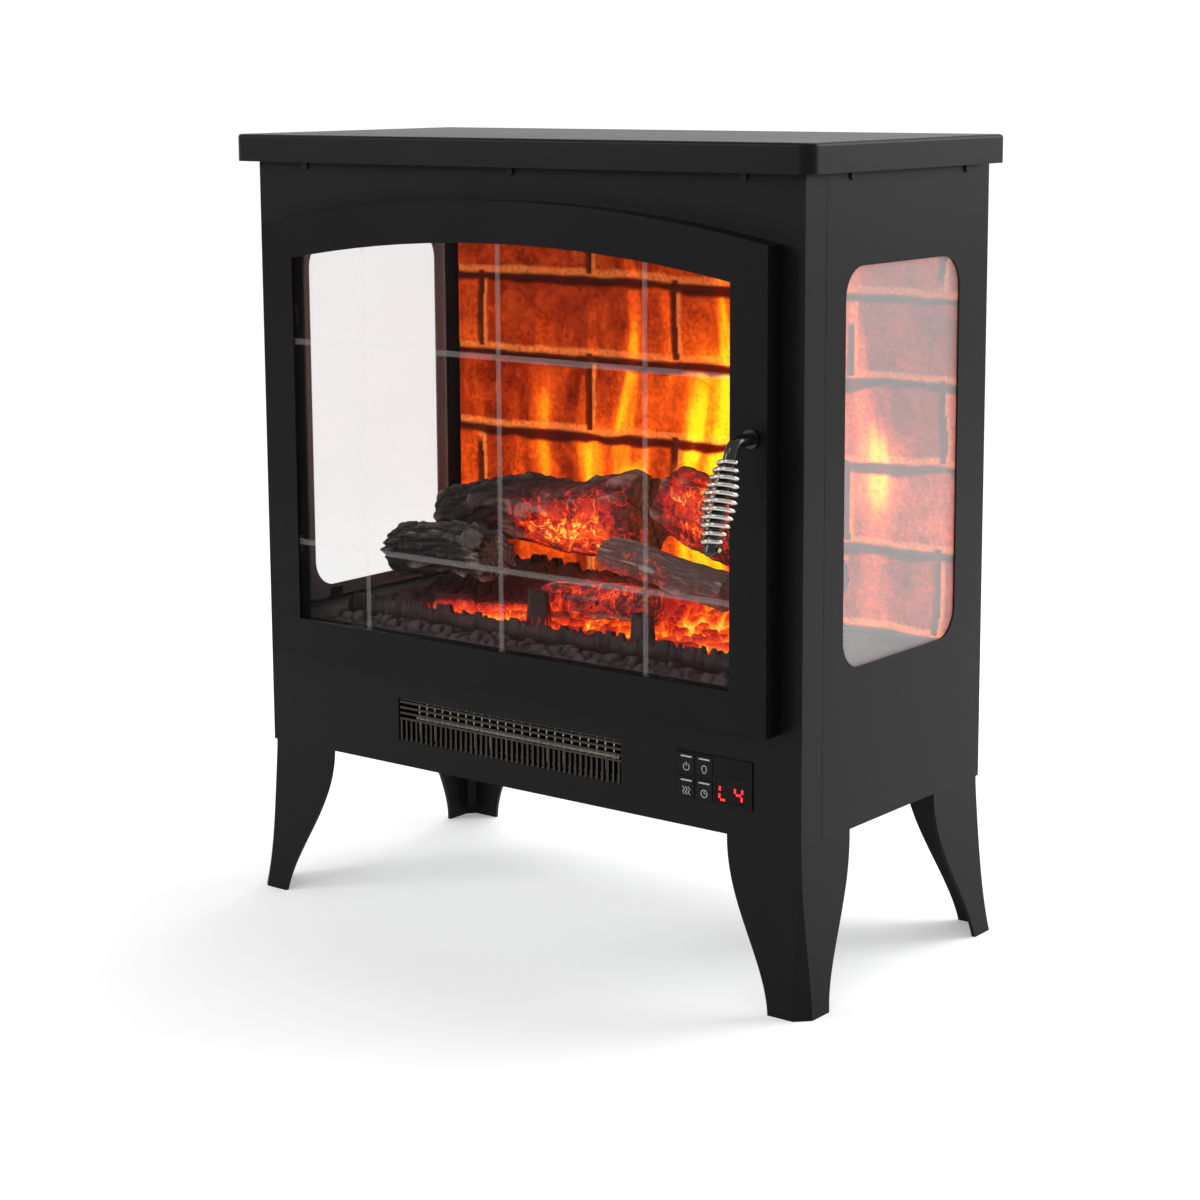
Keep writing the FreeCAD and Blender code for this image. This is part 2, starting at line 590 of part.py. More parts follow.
def flame_effect():
    """Slow rotor of mirror vanes over a lamp strip, and the lamps under the ember bed."""
    vane = "rotorVane"
    vanes = [block(("-rotorHalf", "-rotorHalf + 2"), ("rotorY - 5", "rotorY + 5"),
                   ("rotorZ - 5", "rotorZ + 5"))]
    count = 20
    for i in range(count):
        x = "-rotorHalf + 10 + %g * (rotorHalf * 2 - 20) / %d" % (i, count)
        blade = block(("0", "(rotorHalf * 2 - 20) / %d - 2" % count), ("0", "0.8"),
                      ("0", vane + " * 2"))
        turn = FreeCAD.Rotation(FreeCAD.Vector(1, 0, 0), i * 54)
        tilt = math.radians(i * 54)
        place(blade, x,
              "rotorY - (0.4 * %g - rotorVane * %g)" % (math.cos(tilt), math.sin(tilt)),
              "rotorZ - (0.4 * %g + rotorVane * %g)" % (math.sin(tilt), math.cos(tilt)), turn)
        vanes.append(blade)
    shaft = rod("rotorShaft", "rotorHalf * 2 + 20", "-rotorHalf - 10", "rotorY", "rotorZ", alongX)
    node("flame_rotor", joined(shaft, *vanes))
    motor = rod("16", "16", "-rotorHalf - 22", "rotorY", "rotorZ", alongX)
    socket = rod("rotorShaft + 0.05", "14", "-rotorHalf - 12", "rotorY", "rotorZ", alongX)
    node("rotor_motor", cut(motor, socket))
    node("rotor_motor_bracket",
         joined(block(("-rotorHalf - 24", "-rotorHalf - 22"), ("rotorY - 16", "rotorY + 16"),
                      ("rotorZ - 16", "deckTop - steel")),
                block(("-fireHalf", "-rotorHalf - 22"), ("rotorY - 16", "rotorY + 16"),
                      ("deckTop - steel * 2", "deckTop - steel"))))
    stand = joined(block(("rotorHalf + 4", "rotorHalf + 9"), ("rotorY - 7", "rotorY + 7"),
                         ("rotorZ - 8", "deckTop - steel")),
                   block(("rotorHalf + 4", "rotorHalf + 24"), ("rotorY - 12", "rotorY + 12"),
                         ("deckTop - steel - 3", "deckTop - steel")))
    node("rotor_bearing", cut(stand, rod("rotorShaft + 0.05", "20", "rotorHalf", "rotorY",
                                         "rotorZ", alongX)))
    lamps = [rod("2.5", "3", "%g" % x, "rotorY - 24", "rotorZ - 4") for x in range(-200, 201, 25)]
    node("flame_led_board",
         joined(block(("-212", "212"), ("rotorY - 30", "rotorY - 18"),
                      ("rotorZ - 5.6", "rotorZ - 4")), *lamps))
    under = [rod("2.5", "3", "%g" % x, "-51", "deckTop - 12.5") for x in range(-180, 181, 40)]
    node("ember_led_board",
         joined(block(("-195", "195"), ("-58", "-44"), ("deckTop - 14", "deckTop - 12.4")), *under))


# ---- fan heater ----


def fan_heater():
    """Cross-flow fan, heating element and the outlet grille."""
    shell = cut(block(("wheelX - wheelHalf - 8", "wheelX + wheelHalf + 8"), ("-95", "-30"),
                      ("138", "194")),
                block(("wheelX - wheelHalf - 6", "wheelX + wheelHalf + 6"), ("-96", "-32"),
                      ("140", "192")),
                block(("wheelX - wheelHalf - 6", "wheelX + wheelHalf + 6"), ("-34", "-28"),
                      ("146", "186")),
                rod("2.55", "300", "-150", "wheelY", "wheelZ", alongX))
    feet = [block((x, x + " + 12"), ("-80", "-45"), ("legHeight + steel", "138"))
            for x in ("wheelX - 96", "wheelX + 84")]
    node("blower_housing", joined(shell, *feet))
    blades = []
    count = 18
    for i in range(count):
        angle = 360 / count * i
        turn = FreeCAD.Rotation(FreeCAD.Vector(1, 0, 0), angle + 30)
        blade = block(("0", "wheelHalf * 2 - 2"), ("0", "5.5"), ("0", "1"))
        place(blade, "wheelX - wheelHalf + 1",
              "wheelY + (wheelRadius - 6) * %g" % math.cos(math.radians(angle)),
              "wheelZ + (wheelRadius - 6) * %g" % math.sin(math.radians(angle)), turn)
        blades.append(blade)
    discs = [rod("wheelRadius", "1.5", x, "wheelY", "wheelZ", alongX)
             for x in ("wheelX - wheelHalf", "wheelX - 0.75", "wheelX + wheelHalf - 1.5")]
    shaft = rod("2.5", "wheelHalf * 2 + 34", "wheelX - wheelHalf - 12", "wheelY", "wheelZ", alongX)
    node("blower_wheel", joined(shaft, *discs, *blades))
    left = "wheelX + wheelHalf + 9"
    frame = joined(block((left, left + " + 18"), ("wheelY - 22", "wheelY + 30"),
                         ("wheelZ - 20", "wheelZ + 20")),
                   rod("14", "6", left + " + 18", "wheelY", "wheelZ", alongX),
                   block((left, left + " + 18"), ("wheelY - 10", "wheelY + 10"),
                         ("legHeight + steel", "wheelZ - 10")))
    node("blower_motor", cut(frame, rod("2.55", "60", left + " - 5", "wheelY", "wheelZ", alongX)))
    rails = [block(("wheelX - 100", "wheelX + 100"), ("-112", "-99"), (z, z + " + 3"))
             for z in ("142", "157", "172")]
    fins = [block((x, x + " + 1.2"), ("-111", "-100"), ("143", "174"))
            for x in ("wheelX - 98 + %d" % (i * 8) for i in range(25))]
    node("heater_element", joined(*rails, *fins))
    node("thermal_cutout", joined(rod("8", "5", "-60", "-70", "194"), rod("5", "4", "-60", "-70", "199")))
    outlet_grille()


def outlet_grille():
    """Pressed grille: upright bars below, fine rows above, in one frame."""
    low, high, split = "grilleLow", "grilleHigh", "(grilleLow + grilleHigh) / 2"
    back, front = "-halfDepth + steel + 2", "-halfDepth"
    rim = cut(block(("grilleLeft - 6", "grilleRight + 6"), ("-halfDepth + steel", back),
                    (low + " - 6", high + " + 6")),
              block(("grilleLeft + 1", "grilleRight - 1"), (front, back + " + 1"),
                    (low + " + 1", high + " - 1")))
    step = "(grilleRight - grilleLeft) / grilleBars"
    bars = [block(("grilleLeft + (%g) * %s - barWidth / 2" % (i + 0.5, step),
                   "grilleLeft + (%g) * %s + barWidth / 2" % (i + 0.5, step)),
                  ("-halfDepth + 0.6", back), (low, split))
            for i in range(int(size("grilleBars")))]
    rows = [block(("grilleLeft", "grilleRight"), ("-halfDepth + 1", back),
                  (split + " + %g" % z, split + " + %g" % (z + 1.6))) for z in (0, 4.4, 8.8, 13.2)]
    node("outlet_grille", joined(rim, *bars, *rows))


# ---- controls ----


def controls():
    """Bezel with four sprung keys and a lit two-digit reading, and the board behind them."""
    face = "-halfDepth - 1.2"
    bezel = joined(block(("bezelLeft", "bezelRight"), (face, "-halfDepth"),
                         ("bezelLow", "bezelHigh")),
                   block(("bezelLeft + 2.5", "bezelRight - 2.5"), ("-halfDepth", "-halfDepth + 5"),
                         ("bezelLow + 1.7", "bezelHigh - 1.7")))
    half, tall = "keyWidth / 2", "keyHeight / 2"
    labels = ("power_button", "flame_button", "heat_button", "timer_button")
    places = [("keyLeft + %d * keyPitchX" % (i % 2), "keyLow + %d * keyPitchZ" % (1 - i // 2))
              for i in range(4)]
    holes = []
    for label, (x, z) in zip(labels, places):
        holes.append(block(("%s - %s - keyPlay" % (x, half), "%s + %s + keyPlay" % (x, half)),
                           ("-halfDepth - 3", "-halfDepth + 6"),
                           ("%s - %s - keyPlay" % (z, tall), "%s + %s + keyPlay" % (z, tall))))
        cap = block(("%s - %s" % (x, half), "%s + %s" % (x, half)),
                    (face + " - keyProud", "-halfDepth + 3"),
                    ("%s - %s" % (z, tall), "%s + %s" % (z, tall)))
        node(label, joined(cap, rod("2.5", "5", x, "-halfDepth + 3", z, alongY)))
    holes.append(block(("bezelLeft + 36", "bezelRight - 3.5"), ("-halfDepth - 3", "-halfDepth + 6"),
                       ("bezelLow + 2.6", "bezelHigh - 14")))
    node("control_bezel", cut(bezel, *holes))
    node("display_module", block(("bezelLeft + 36.3", "bezelRight - 3.8"),
                                 (face + " + 0.2", "-halfDepth + 6"),
                                 ("bezelLow + 2.9", "bezelHigh - 14.3")))
    taps = [rod("3", "2.8", x, "-halfDepth + 9.2", z, alongY) for x, z in places]
    board = block(("bezelLeft - 6", "bezelRight + 6"), ("-halfDepth + 12", "-halfDepth + 13.6"),
                  ("bezelLow - 4", "bezelHigh + 4"))
    posts = [rod("2.5", "10.5", x, "-halfDepth + steel", z, alongY)
             for x in ("bezelLeft - 3", "bezelRight + 3") for z in ("bezelLow - 1", "bezelHigh + 1")]
    node("control_board", joined(board, *taps, *posts))
    components = ((120, -20, 24, 20, 18), (152, -22, 16, 30, 14), (178, -18, 20, 16, 22),
                  (125, 12, 14, 14, 12), (150, 18, 40, 12, 9))
    parts = [block((str(x), str(x + wide)), (str(y), str(y + deep)), ("131", str(132.6 + tall)))
             for x, y, wide, deep, tall in components]
    feet = [rod("3", "7", x, y, "legHeight + steel") for x in ("116", "206") for y in ("-26", "34")]
    node("power_board", joined(block(("110", "212"), ("-32", "40"), ("130.5", "132.1")), *parts, *feet))


# ---- build ----

for make in (top_plate, front_panel, side_panels, back_cover, base_plate, legs, lid_screws,
             side_glasses, door, hinges, catch, handle, firebox, flame_effect, fan_heater, controls):
    make()
doc.recompute()

troubles = [thing.Label for thing in doc.Objects
            if "Invalid" in thing.State or "Error" in thing.State]
troubles += [label for label, thing in nodes.items()
             if thing.Shape.isNull() or not thing.Shape.isValid() or not thing.Shape.Solids]
if troubles:
    raise RuntimeError("failed: " + ", ".join(troubles))

os.makedirs("parts", exist_ok=True)
whole = FreeCAD.BoundBox()
for label, thing in nodes.items():
    thing.Shape.exportStep("parts/%s.step" % label)
    whole.add(thing.Shape.optimalBoundingBox(False))
    print("%-22s %2d solids %9.1f cm3" % (label, len(thing.Shape.Solids), thing.Shape.Volume / 1000))
print(len(nodes), "nodes; x %.2f %.2f  y %.2f %.2f  z %.2f %.2f" % (
    whole.XMin, whole.XMax, whole.YMin, whole.YMax, whole.ZMin, whole.ZMax))
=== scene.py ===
import json
import math
import bmesh
import bpy
import numpy as np
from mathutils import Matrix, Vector


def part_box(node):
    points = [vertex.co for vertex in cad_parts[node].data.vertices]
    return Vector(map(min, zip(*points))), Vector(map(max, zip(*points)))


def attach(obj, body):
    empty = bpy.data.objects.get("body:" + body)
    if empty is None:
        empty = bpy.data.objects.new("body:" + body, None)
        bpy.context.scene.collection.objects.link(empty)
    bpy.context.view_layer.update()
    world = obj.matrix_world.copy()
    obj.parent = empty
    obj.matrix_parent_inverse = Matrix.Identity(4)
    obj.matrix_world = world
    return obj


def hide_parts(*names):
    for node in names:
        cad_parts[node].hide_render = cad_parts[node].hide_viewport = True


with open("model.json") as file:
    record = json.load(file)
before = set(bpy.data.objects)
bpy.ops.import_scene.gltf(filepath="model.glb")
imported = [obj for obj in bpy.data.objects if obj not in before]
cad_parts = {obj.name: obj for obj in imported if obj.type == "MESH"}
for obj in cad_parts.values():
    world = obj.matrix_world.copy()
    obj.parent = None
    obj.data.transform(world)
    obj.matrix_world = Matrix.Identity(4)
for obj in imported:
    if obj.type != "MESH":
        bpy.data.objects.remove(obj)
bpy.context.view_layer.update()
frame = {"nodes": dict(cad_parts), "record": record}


# shared tools

class Value:
    # one output socket, so that shader maths reads as plain arithmetic
    def __init__(self, maker, socket):
        self.maker, self.socket = maker, socket

    def math(self, operation, *others):
        return self.maker.node("ShaderNodeMath", {"operation": operation}, [self, *others])

    def __add__(self, other):
        return self.math("ADD", other)

    def __radd__(self, other):
        return self.math("ADD", other)

    def __sub__(self, other):
        return self.math("SUBTRACT", other)

    def __rsub__(self, other):
        return self.maker.node("ShaderNodeMath", {"operation": "SUBTRACT"}, [other, self])

    def __mul__(self, other):
        return self.math("MULTIPLY", other)

    def __rmul__(self, other):
        return self.math("MULTIPLY", other)

    def __truediv__(self, other):
        return self.math("DIVIDE", other)

    def __gt__(self, other):
        return self.math("GREATER_THAN", other)

    def __lt__(self, other):
        return self.math("LESS_THAN", other)

    def most(self, other):
        return self.math("MAXIMUM", other)

    def size(self):
        return self.math("ABSOLUTE")


class Maker:
    # one material and its node tree
    def __init__(self, name):
        self.material = bpy.data.materials.new(name)
        self.material.use_nodes = True
        self.tree = self.material.node_tree
        self.shader = self.tree.nodes["Principled BSDF"]

    def node(self, kind, settings=None, inputs=(), out=0):
        made = self.tree.nodes.new(kind)
        for key, setting in (settings or {}).items():
            if key == "stops":
                self.fillRamp(made.color_ramp, setting)
            else:
                setattr(made, key, setting)
        pairs = inputs.items() if isinstance(inputs, dict) else enumerate(inputs)
        for key, given in pairs:
            self.feed(made.inputs[key], given)
        return Value(self, made.outputs[out])

    def feed(self, socket, given):
        if isinstance(given, Value):
            self.tree.links.new(given.socket, socket)
        else:
            socket.default_value = given

    def fillRamp(self, ramp, stops):
        while len(ramp.elements) < len(stops):
            ramp.elements.new(0.5)
        for element, (place, colour) in zip(ramp.elements, stops):
            element.position = place
            element.color = (*colour, 1)

    def set(self, **sockets):
        for key, given in sockets.items():
            self.feed(self.shader.inputs[key.replace("_", " ")], given)
        return self.material

    def place(self):
        return self.node("ShaderNodeTexCoord", out="Object")

    def axes(self):
        parts = self.node("ShaderNodeSeparateXYZ", {}, [self.place()])
        return [Value(self, socket) for socket in parts.socket.node.outputs]

    def stretched(self, x, y, z):
        return self.node("ShaderNodeMapping", {}, {"Vector": self.place(), "Scale": (x, y, z)})

    def noise(self, scale, detail=4, rough=0.55, at=None, warp=0.0):
        return self.node("ShaderNodeTexNoise", {}, {"Vector": at or self.place(), "Scale": scale,
                         "Detail": detail, "Roughness": rough, "Distortion": warp})

    def ramp(self, value, *stops):
        return self.node("ShaderNodeValToRGB", {"stops": stops}, [value])

    def blend(self, factor, first, second, mode="MIX"):
        def colour(given):
            return (*given, 1) if isinstance(given, tuple) and len(given) == 3 else given
        return self.node("ShaderNodeMix", {"data_type": "RGBA", "blend_type": mode},
                         {0: factor, 6: colour(first), 7: colour(second)}, out=2)

    def relief(self, height, depth, strength=1.0):
        return self.node("ShaderNodeBump", {}, {"Height": height, "Distance": depth, "Strength": strength})

    def cracks(self, scale, width, level=0.5):
        # thin wandering lines: where slow noise passes through one level
        slow = self.noise(scale, 3, 0.6, warp=0.4)
        return (1 - (slow - level).size() / width).most(0)

    def painted(self, name, out=0):
        # an attribute kept on the mesh
        return self.node("ShaderNodeAttribute", {"attribute_name": name}, out=out)


def step(values, low, high):
    # smooth step from 0 at low to 1 at high
    t = np.clip((values - low) / (high - low), 0, 1)
    return t * t * (3 - 2 * t)


def hashed(cells, seed):
    # a fixed random number for each whole-number cell: the fraction of a large sine
    mixed = cells @ np.array([127.1, 311.7, 74.7]) + seed * 19.19
    return np.modf(np.abs(np.sin(mixed) * 43758.5453))[0]


def lumps(points, scale, seed=0):
    # value noise: random numbers at whole cells, smoothly mixed along x, y and z
    scaled = points * scale
    cell = np.floor(scaled)
    part = scaled - cell
    part = part * part * (3 - 2 * part)
    total = np.zeros(len(points))
    for corner in range(8):
        offset = np.array([corner & 1, corner >> 1 & 1, corner >> 2 & 1], float)
        weight = np.prod(np.where(offset > 0, part, 1 - part), axis=1)
        total += weight * hashed(cell + offset, seed)
    return total


def roughness(points, scale, seed=0, layers=4):
    # fractal sum: each layer twice as fine and half as strong, brought back to 0..1
    total, share, gain = np.zeros(len(points)), 0.0, 1.0
    for layer in range(layers):
        total += gain * lumps(points, scale * 2 ** layer, seed + layer)
        share += gain
        gain *= 0.5
    return total / share


def gridFaces(rows, columns, wrapRows=False, wrapColumns=False):
    # the four corners of each cell of a rows by columns grid, wrapped where asked
    r = np.arange(rows if wrapRows else rows - 1)
    c = np.arange(columns if wrapColumns else columns - 1)
    r, c = [grid.ravel() for grid in np.meshgrid(r, c, indexing="ij")]
    below, right = (r + 1) % rows, (c + 1) % columns
    return np.stack([r * columns + c, r * columns + right, below * columns + right,
                     below * columns + c], axis=1)


def addPiece(name, points, faces, body, material, replaces=(), smooth=True, painted=None):
    mesh = bpy.data.meshes.new(name)
    mesh.from_pydata(np.asarray(points, float).tolist(), [], [list(map(int, face)) for face in faces])
    mesh.polygons.foreach_set("use_smooth", [smooth] * len(mesh.polygons))
    for key, values in (painted or {}).items():
        layer = mesh.attributes.new(key, "FLOAT", "POINT")
        layer.data.foreach_set("value", np.asarray(values, np.float32))
    mesh.materials.append(material)
    mesh.validate()
    mesh.update()
    piece = bpy.data.objects.new(name, mesh)
    bpy.context.collection.objects.link(piece)
    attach(piece, body)
    if replaces:
        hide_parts(*replaces)
    return piece


def tube(path, radius, sides, closedEnds=True):
    # circles of the given radius carried along the path, square to it, with a point at each end
    path = np.asarray(path, float)
    radius = np.broadcast_to(radius, len(path))
    tangent = np.gradient(path, axis=0)
    tangent /= np.linalg.norm(tangent, axis=1)[:, None]
    up = np.array([1.0, 0.0, 0.0]) if abs(tangent[0][0]) < 0.9 else np.array([0.0, 0.0, 1.0])
    side = np.cross(tangent, up)
    side /= np.linalg.norm(side, axis=1)[:, None]
    other = np.cross(tangent, side)
    angle = np.linspace(0, 2 * math.pi, sides, endpoint=False)
    ring = (np.cos(angle)[None, :, None] * side[:, None] + np.sin(angle)[None, :, None] * other[:, None])
    points = (path[:, None] + ring * radius[:, None, None]).reshape(-1, 3)
    faces = list(gridFaces(len(path), sides, wrapColumns=True))
    if closedEnds:
        first, last = len(points), len(points) + 1
        points = np.vstack([points, path[0], path[-1]])
        start = (len(path) - 1) * sides
        for k in range(sides):
            faces.append([first, (k + 1) % sides, k])
            faces.append([last, start + k, start + (k + 1) % sides])
    return points, faces


def finishMesh(piece):
    # merge doubles and turn every face outwards
    work = bmesh.new()
    work.from_mesh(piece.data)
    bmesh.ops.remove_doubles(work, verts=work.verts, dist=1e-7)
    bmesh.ops.recalc_face_normals(work, faces=work.faces)
    work.to_mesh(piece.data)
    work.free()


# places read from the frame

panelLow, panelHigh = [np.array(corner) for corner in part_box("front_panel")]
backHigh = np.array(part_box("back_cover")[1])
middleY = (panelLow[1] + backHigh[1]) / 2
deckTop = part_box("firebox_floor")[1][2]
print("frame loaded, cabinet middle at y", round(middleY, 4))


# camera and light

camera = {"spot": (1.2339, -1.5944, 0.6595), "yaw": 38.01, "pitch": -9.44, "roll": 0.32,
          "lens": 78.72, "shiftY": -0.08}


def makeCamera():
    data = bpy.data.cameras.new("camera")
    data.lens, data.sensor_width, data.shift_y = camera["lens"], 36, camera["shiftY"]
    eye = bpy.data.objects.new("camera", data)
    x, y, z = camera["spot"]
    eye.location = (x, y + middleY, z)
    eye.rotation_mode = "XYZ"
    eye.rotation_euler = (math.radians(90 + camera["pitch"]), math.radians(camera["roll"]),
                          math.radians(camera["yaw"]))
    bpy.context.collection.objects.link(eye)
    bpy.context.scene.camera = eye


# sky and floor strengths, then each panel light: name, place, aim, side, watts
light = {"sky": 0.60, "skyColour": (1.0, 1.0, 1.0), "floor": 0.78, "floorGlow": 0.34,
         "panels": [("top", (0.1, 0.9, 2.3), (0, 0, 0.5), 1.6, 27),
                    ("right", (1.7, 2.0, 1.35), (0.25, 0, 0.5), 1.3, 40),
                    ("left", (-1.5, -2.0, 1.30), (0, 0, 0.6), 0.8, 20),
                    ("front", (0.3, -2.2, 2.5), (0, 0, 0.3), 0.9, 12)]}


def makeLight():
    world = bpy.data.worlds.new("studio")
    bpy.context.scene.world = world
    world.use_nodes = True
    sky = world.node_tree.nodes["Background"]
    sky.inputs["Color"].default_value = (*light["skyColour"], 1)
    sky.inputs["Strength"].default_value = light["sky"]
    for name, spot, aim, side, power in light["panels"]:
        data = bpy.data.lights.new(name, "AREA")
        data.energy, data.size = power, side
        lamp = bpy.data.objects.new(name, data)
        lamp.location = spot
        towards = Vector(aim) - Vector(spot)
        lamp.rotation_euler = towards.to_track_quat("-Z", "Y").to_euler()
        bpy.context.collection.objects.link(lamp)
    shade = Maker("floor")
    grain = shade.noise(6, 2)
    tone = grain * 0.02 + (light["floor"] - 0.01)
    colour = shade.node("ShaderNodeCombineColor", {}, [tone, tone, tone])
    shade.set(Base_Color=colour, Roughness=0.9, Specular_IOR_Level=0.0,
              Emission_Color=colour, Emission_Strength=light["floorGlow"])
    half = 6.0
    curve = np.linspace(0, 1, 24)
    # floor that turns up behind into a backdrop: a straight run, a quarter round, a wall
    run = [(-half, 0.0)] + [(2.2 + math.sin(t * math.pi / 2), 1 - math.cos(t * math.pi / 2)) for t in curve]
    run += [(3.2, 6.0)]
    turn = math.radians(camera["yaw"])
    points = []
    for across in (-half, half):
        for along, high in run:
            points.append((across * math.cos(turn) - along * math.sin(turn),
                           across * math.sin(turn) + along * math.cos(turn), high))
    faces = [[k, k + 1, len(run) + k + 1, len(run) + k] for k in range(len(run) - 1)]
    mesh = bpy.data.meshes.new("floor")
    mesh.from_pydata(points, [], faces)
    mesh.polygons.foreach_set("use_smooth", [True] * len(faces))
    mesh.materials.append(shade.material)
    floor = bpy.data.objects.new("floor", mesh)
    bpy.context.collection.objects.link(floor)


makeCamera()
makeLight()
bpy.context.scene.view_settings.view_transform = "Standard"
print("camera and light set")


# finishes

def powderCoat(name, tone, gloss, grain=1400, depth=0.00014, sheen=0.115):
    # orange-peel coat: fine round noise as relief, with slow changes of gloss
    shade = Maker(name)
    fine = shade.noise(grain, 3, 0.6)
    slow = shade.noise(9, 3)
    colour = shade.ramp(slow, (0.3, tuple(c * 0.85 for c in tone)), (0.7, tuple(c * 1.15 for c in tone)))
    return shade.set(Base_Color=colour, Roughness=slow * 0.08 + (gloss - 0.04), Specular_IOR_Level=sheen,
                     Normal=shade.relief(fine, depth, 0.6))


def plainMetal(name, tone, gloss, grain=(900, 60, 900), metallic=1.0):
    # rolled sheet: noise drawn out along one axis, in colour, gloss and relief
    shade = Maker(name)
    drawn = shade.noise(1, 4, 0.6, at=shade.stretched(*grain))
    stain = shade.noise(14, 4)
    colour = shade.ramp(stain, (0.25, tuple(c * 0.7 for c in tone)), (0.75, tone))
    return shade.set(Base_Color=colour, Metallic=metallic, Roughness=drawn * 0.2 + (gloss - 0.1),
                     Normal=shade.relief(drawn, 0.00005, 0.4))


def moulding(name, tone, gloss, coat=0.0, sheen=0.5):
    # moulded plastic or rubber: very fine relief, with slow changes of tone and gloss
    shade = Maker(name)
    fine = shade.noise(2200, 2)
    slow = shade.noise(20, 3)
    colour = shade.ramp(slow, (0.3, tuple(c * 0.9 for c in tone)),
                        (0.7, tuple(min(1, c * 1.1) for c in tone)))
    return shade.set(Base_Color=colour, Roughness=slow * 0.06 + (gloss - 0.03), Coat_Weight=coat,
                     Specular_IOR_Level=sheen, Normal=shade.relief(fine, 0.00003, 0.4))


def circuit(name, tone):
    # solder mask with lighter tracks: the joints of a fine brick pattern
    shade = Maker(name)
    tracks = shade.node("ShaderNodeTexBrick", {}, {"Vector": shade.place(), "Scale": 260.0,
                        "Mortar Size": 0.06, "Color1": (0, 0, 0, 1), "Color2": (0, 0, 0, 1),
                        "Mortar": (1, 1, 1, 1)}, out="Fac")
    colour = shade.blend(tracks, tone, tuple(min(1, c * 1.9 + 0.03) for c in tone))
    return shade.set(Base_Color=colour, Roughness=shade.noise(60) * 0.1 + 0.35)


glass = {"reflectionHaze": 0.17, "pane": 0.0005, "facet": 0.11, "roughness": 0.02}


def sideGlass():
    # clear flat glass with a soft grey-white layer that changes slowly across it: a painted reflection of the
    # bright room
    shade = Maker("sideGlass")
    reflectionHaze = shade.noise(5, 2) * 0.06 + (glass["reflectionHaze"] - 0.03)
    return shade.set(Base_Color=(0.95, 0.95, 0.95, 1), Roughness=glass["roughness"], Alpha=reflectionHaze)


def doorGlass():
    # clear pane: thin haze, with its bevelled lines' facets almost white
    shade = Maker("doorGlass")
    low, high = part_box("door_glass")
    normal = shade.node("ShaderNodeNewGeometry", out="True Normal")
    forward = shade.node("ShaderNodeSeparateXYZ", {}, [normal], out=1)
    facet = (forward.size() < 0.95)
    x, _, z = shade.axes()
    inside = (x.size() < (high[0] - 0.004)) * (z > (low[2] + 0.004))
    smear = shade.noise(7, 3) * 0.004
    return shade.set(Base_Color=(0.94, 0.92, 0.90, 1), Roughness=glass["roughness"],
                     Alpha=smear + glass["pane"] + facet * inside * (glass["facet"] - glass["pane"]))


heat = [(0.0, (0.0, 0.0, 0.0)), (0.16, (0.05, 0.001, 0.0)), (0.34, (0.55, 0.012, 0.004)),
        (0.55, (1.0, 0.07, 0.006)), (0.78, (1.0, 0.38, 0.012)), (1.0, (1.0, 0.80, 0.12))]


def logFinish(name, dark, pale, glow, grey=0.0):
    # charred bark: soot and painted shade in the furrows, ash and a painted highlight on the ridges, and heat
    # that shows through the cracks
    shade = Maker(name)
    ridge = shade.painted("ridge", 2)
    hot = shade.painted("hot", 2)
    fine = shade.noise(300, 6, 0.7)
    grain = shade.noise(75, 6, 0.65, warp=0.8)
    # dark in the furrows, pale on the ridges: the bark's soot and ash, with painted shade in the furrows and
    # a painted highlight on the ridges
    sootShadeAndHighlight = shade.ramp(ridge * 0.8 + grain * 0.7 - 0.3, (0.28, dark), (0.60, tuple(c * 0.45 for c in pale)),
                      (0.95, tuple(min(1, c * 1.7 + 0.03) for c in pale)))
    if grey:
        sootShadeAndHighlight = shade.blend(fine * grey, sootShadeAndHighlight, (0.42, 0.38, 0.35))
    vein = shade.cracks(30, 0.022)
    hair = shade.cracks(70, 0.03, 0.46)
    crust = shade.ramp(shade.noise(85, 5, 0.7), (0.44, (0, 0, 0)), (0.60, (1, 1, 1)))
    glowing = hot * (0.27 + (1 - ridge) * 0.26 + grain * 0.12) + hot * vein * 0.60 + hot * hair * 0.30
    lit = shade.ramp(glowing * (1 - crust * 0.55) * glow, *heat)
    height = fine * 0.7 + grain * 1.4 + ridge * 0.6 - vein * hot * 0.5
    return shade.set(Base_Color=sootShadeAndHighlight, Roughness=fine * 0.3 + 0.45, Emission_Color=lit, Emission_Strength=1.0,
                     Normal=shade.relief(height, 0.0045, 1.0))


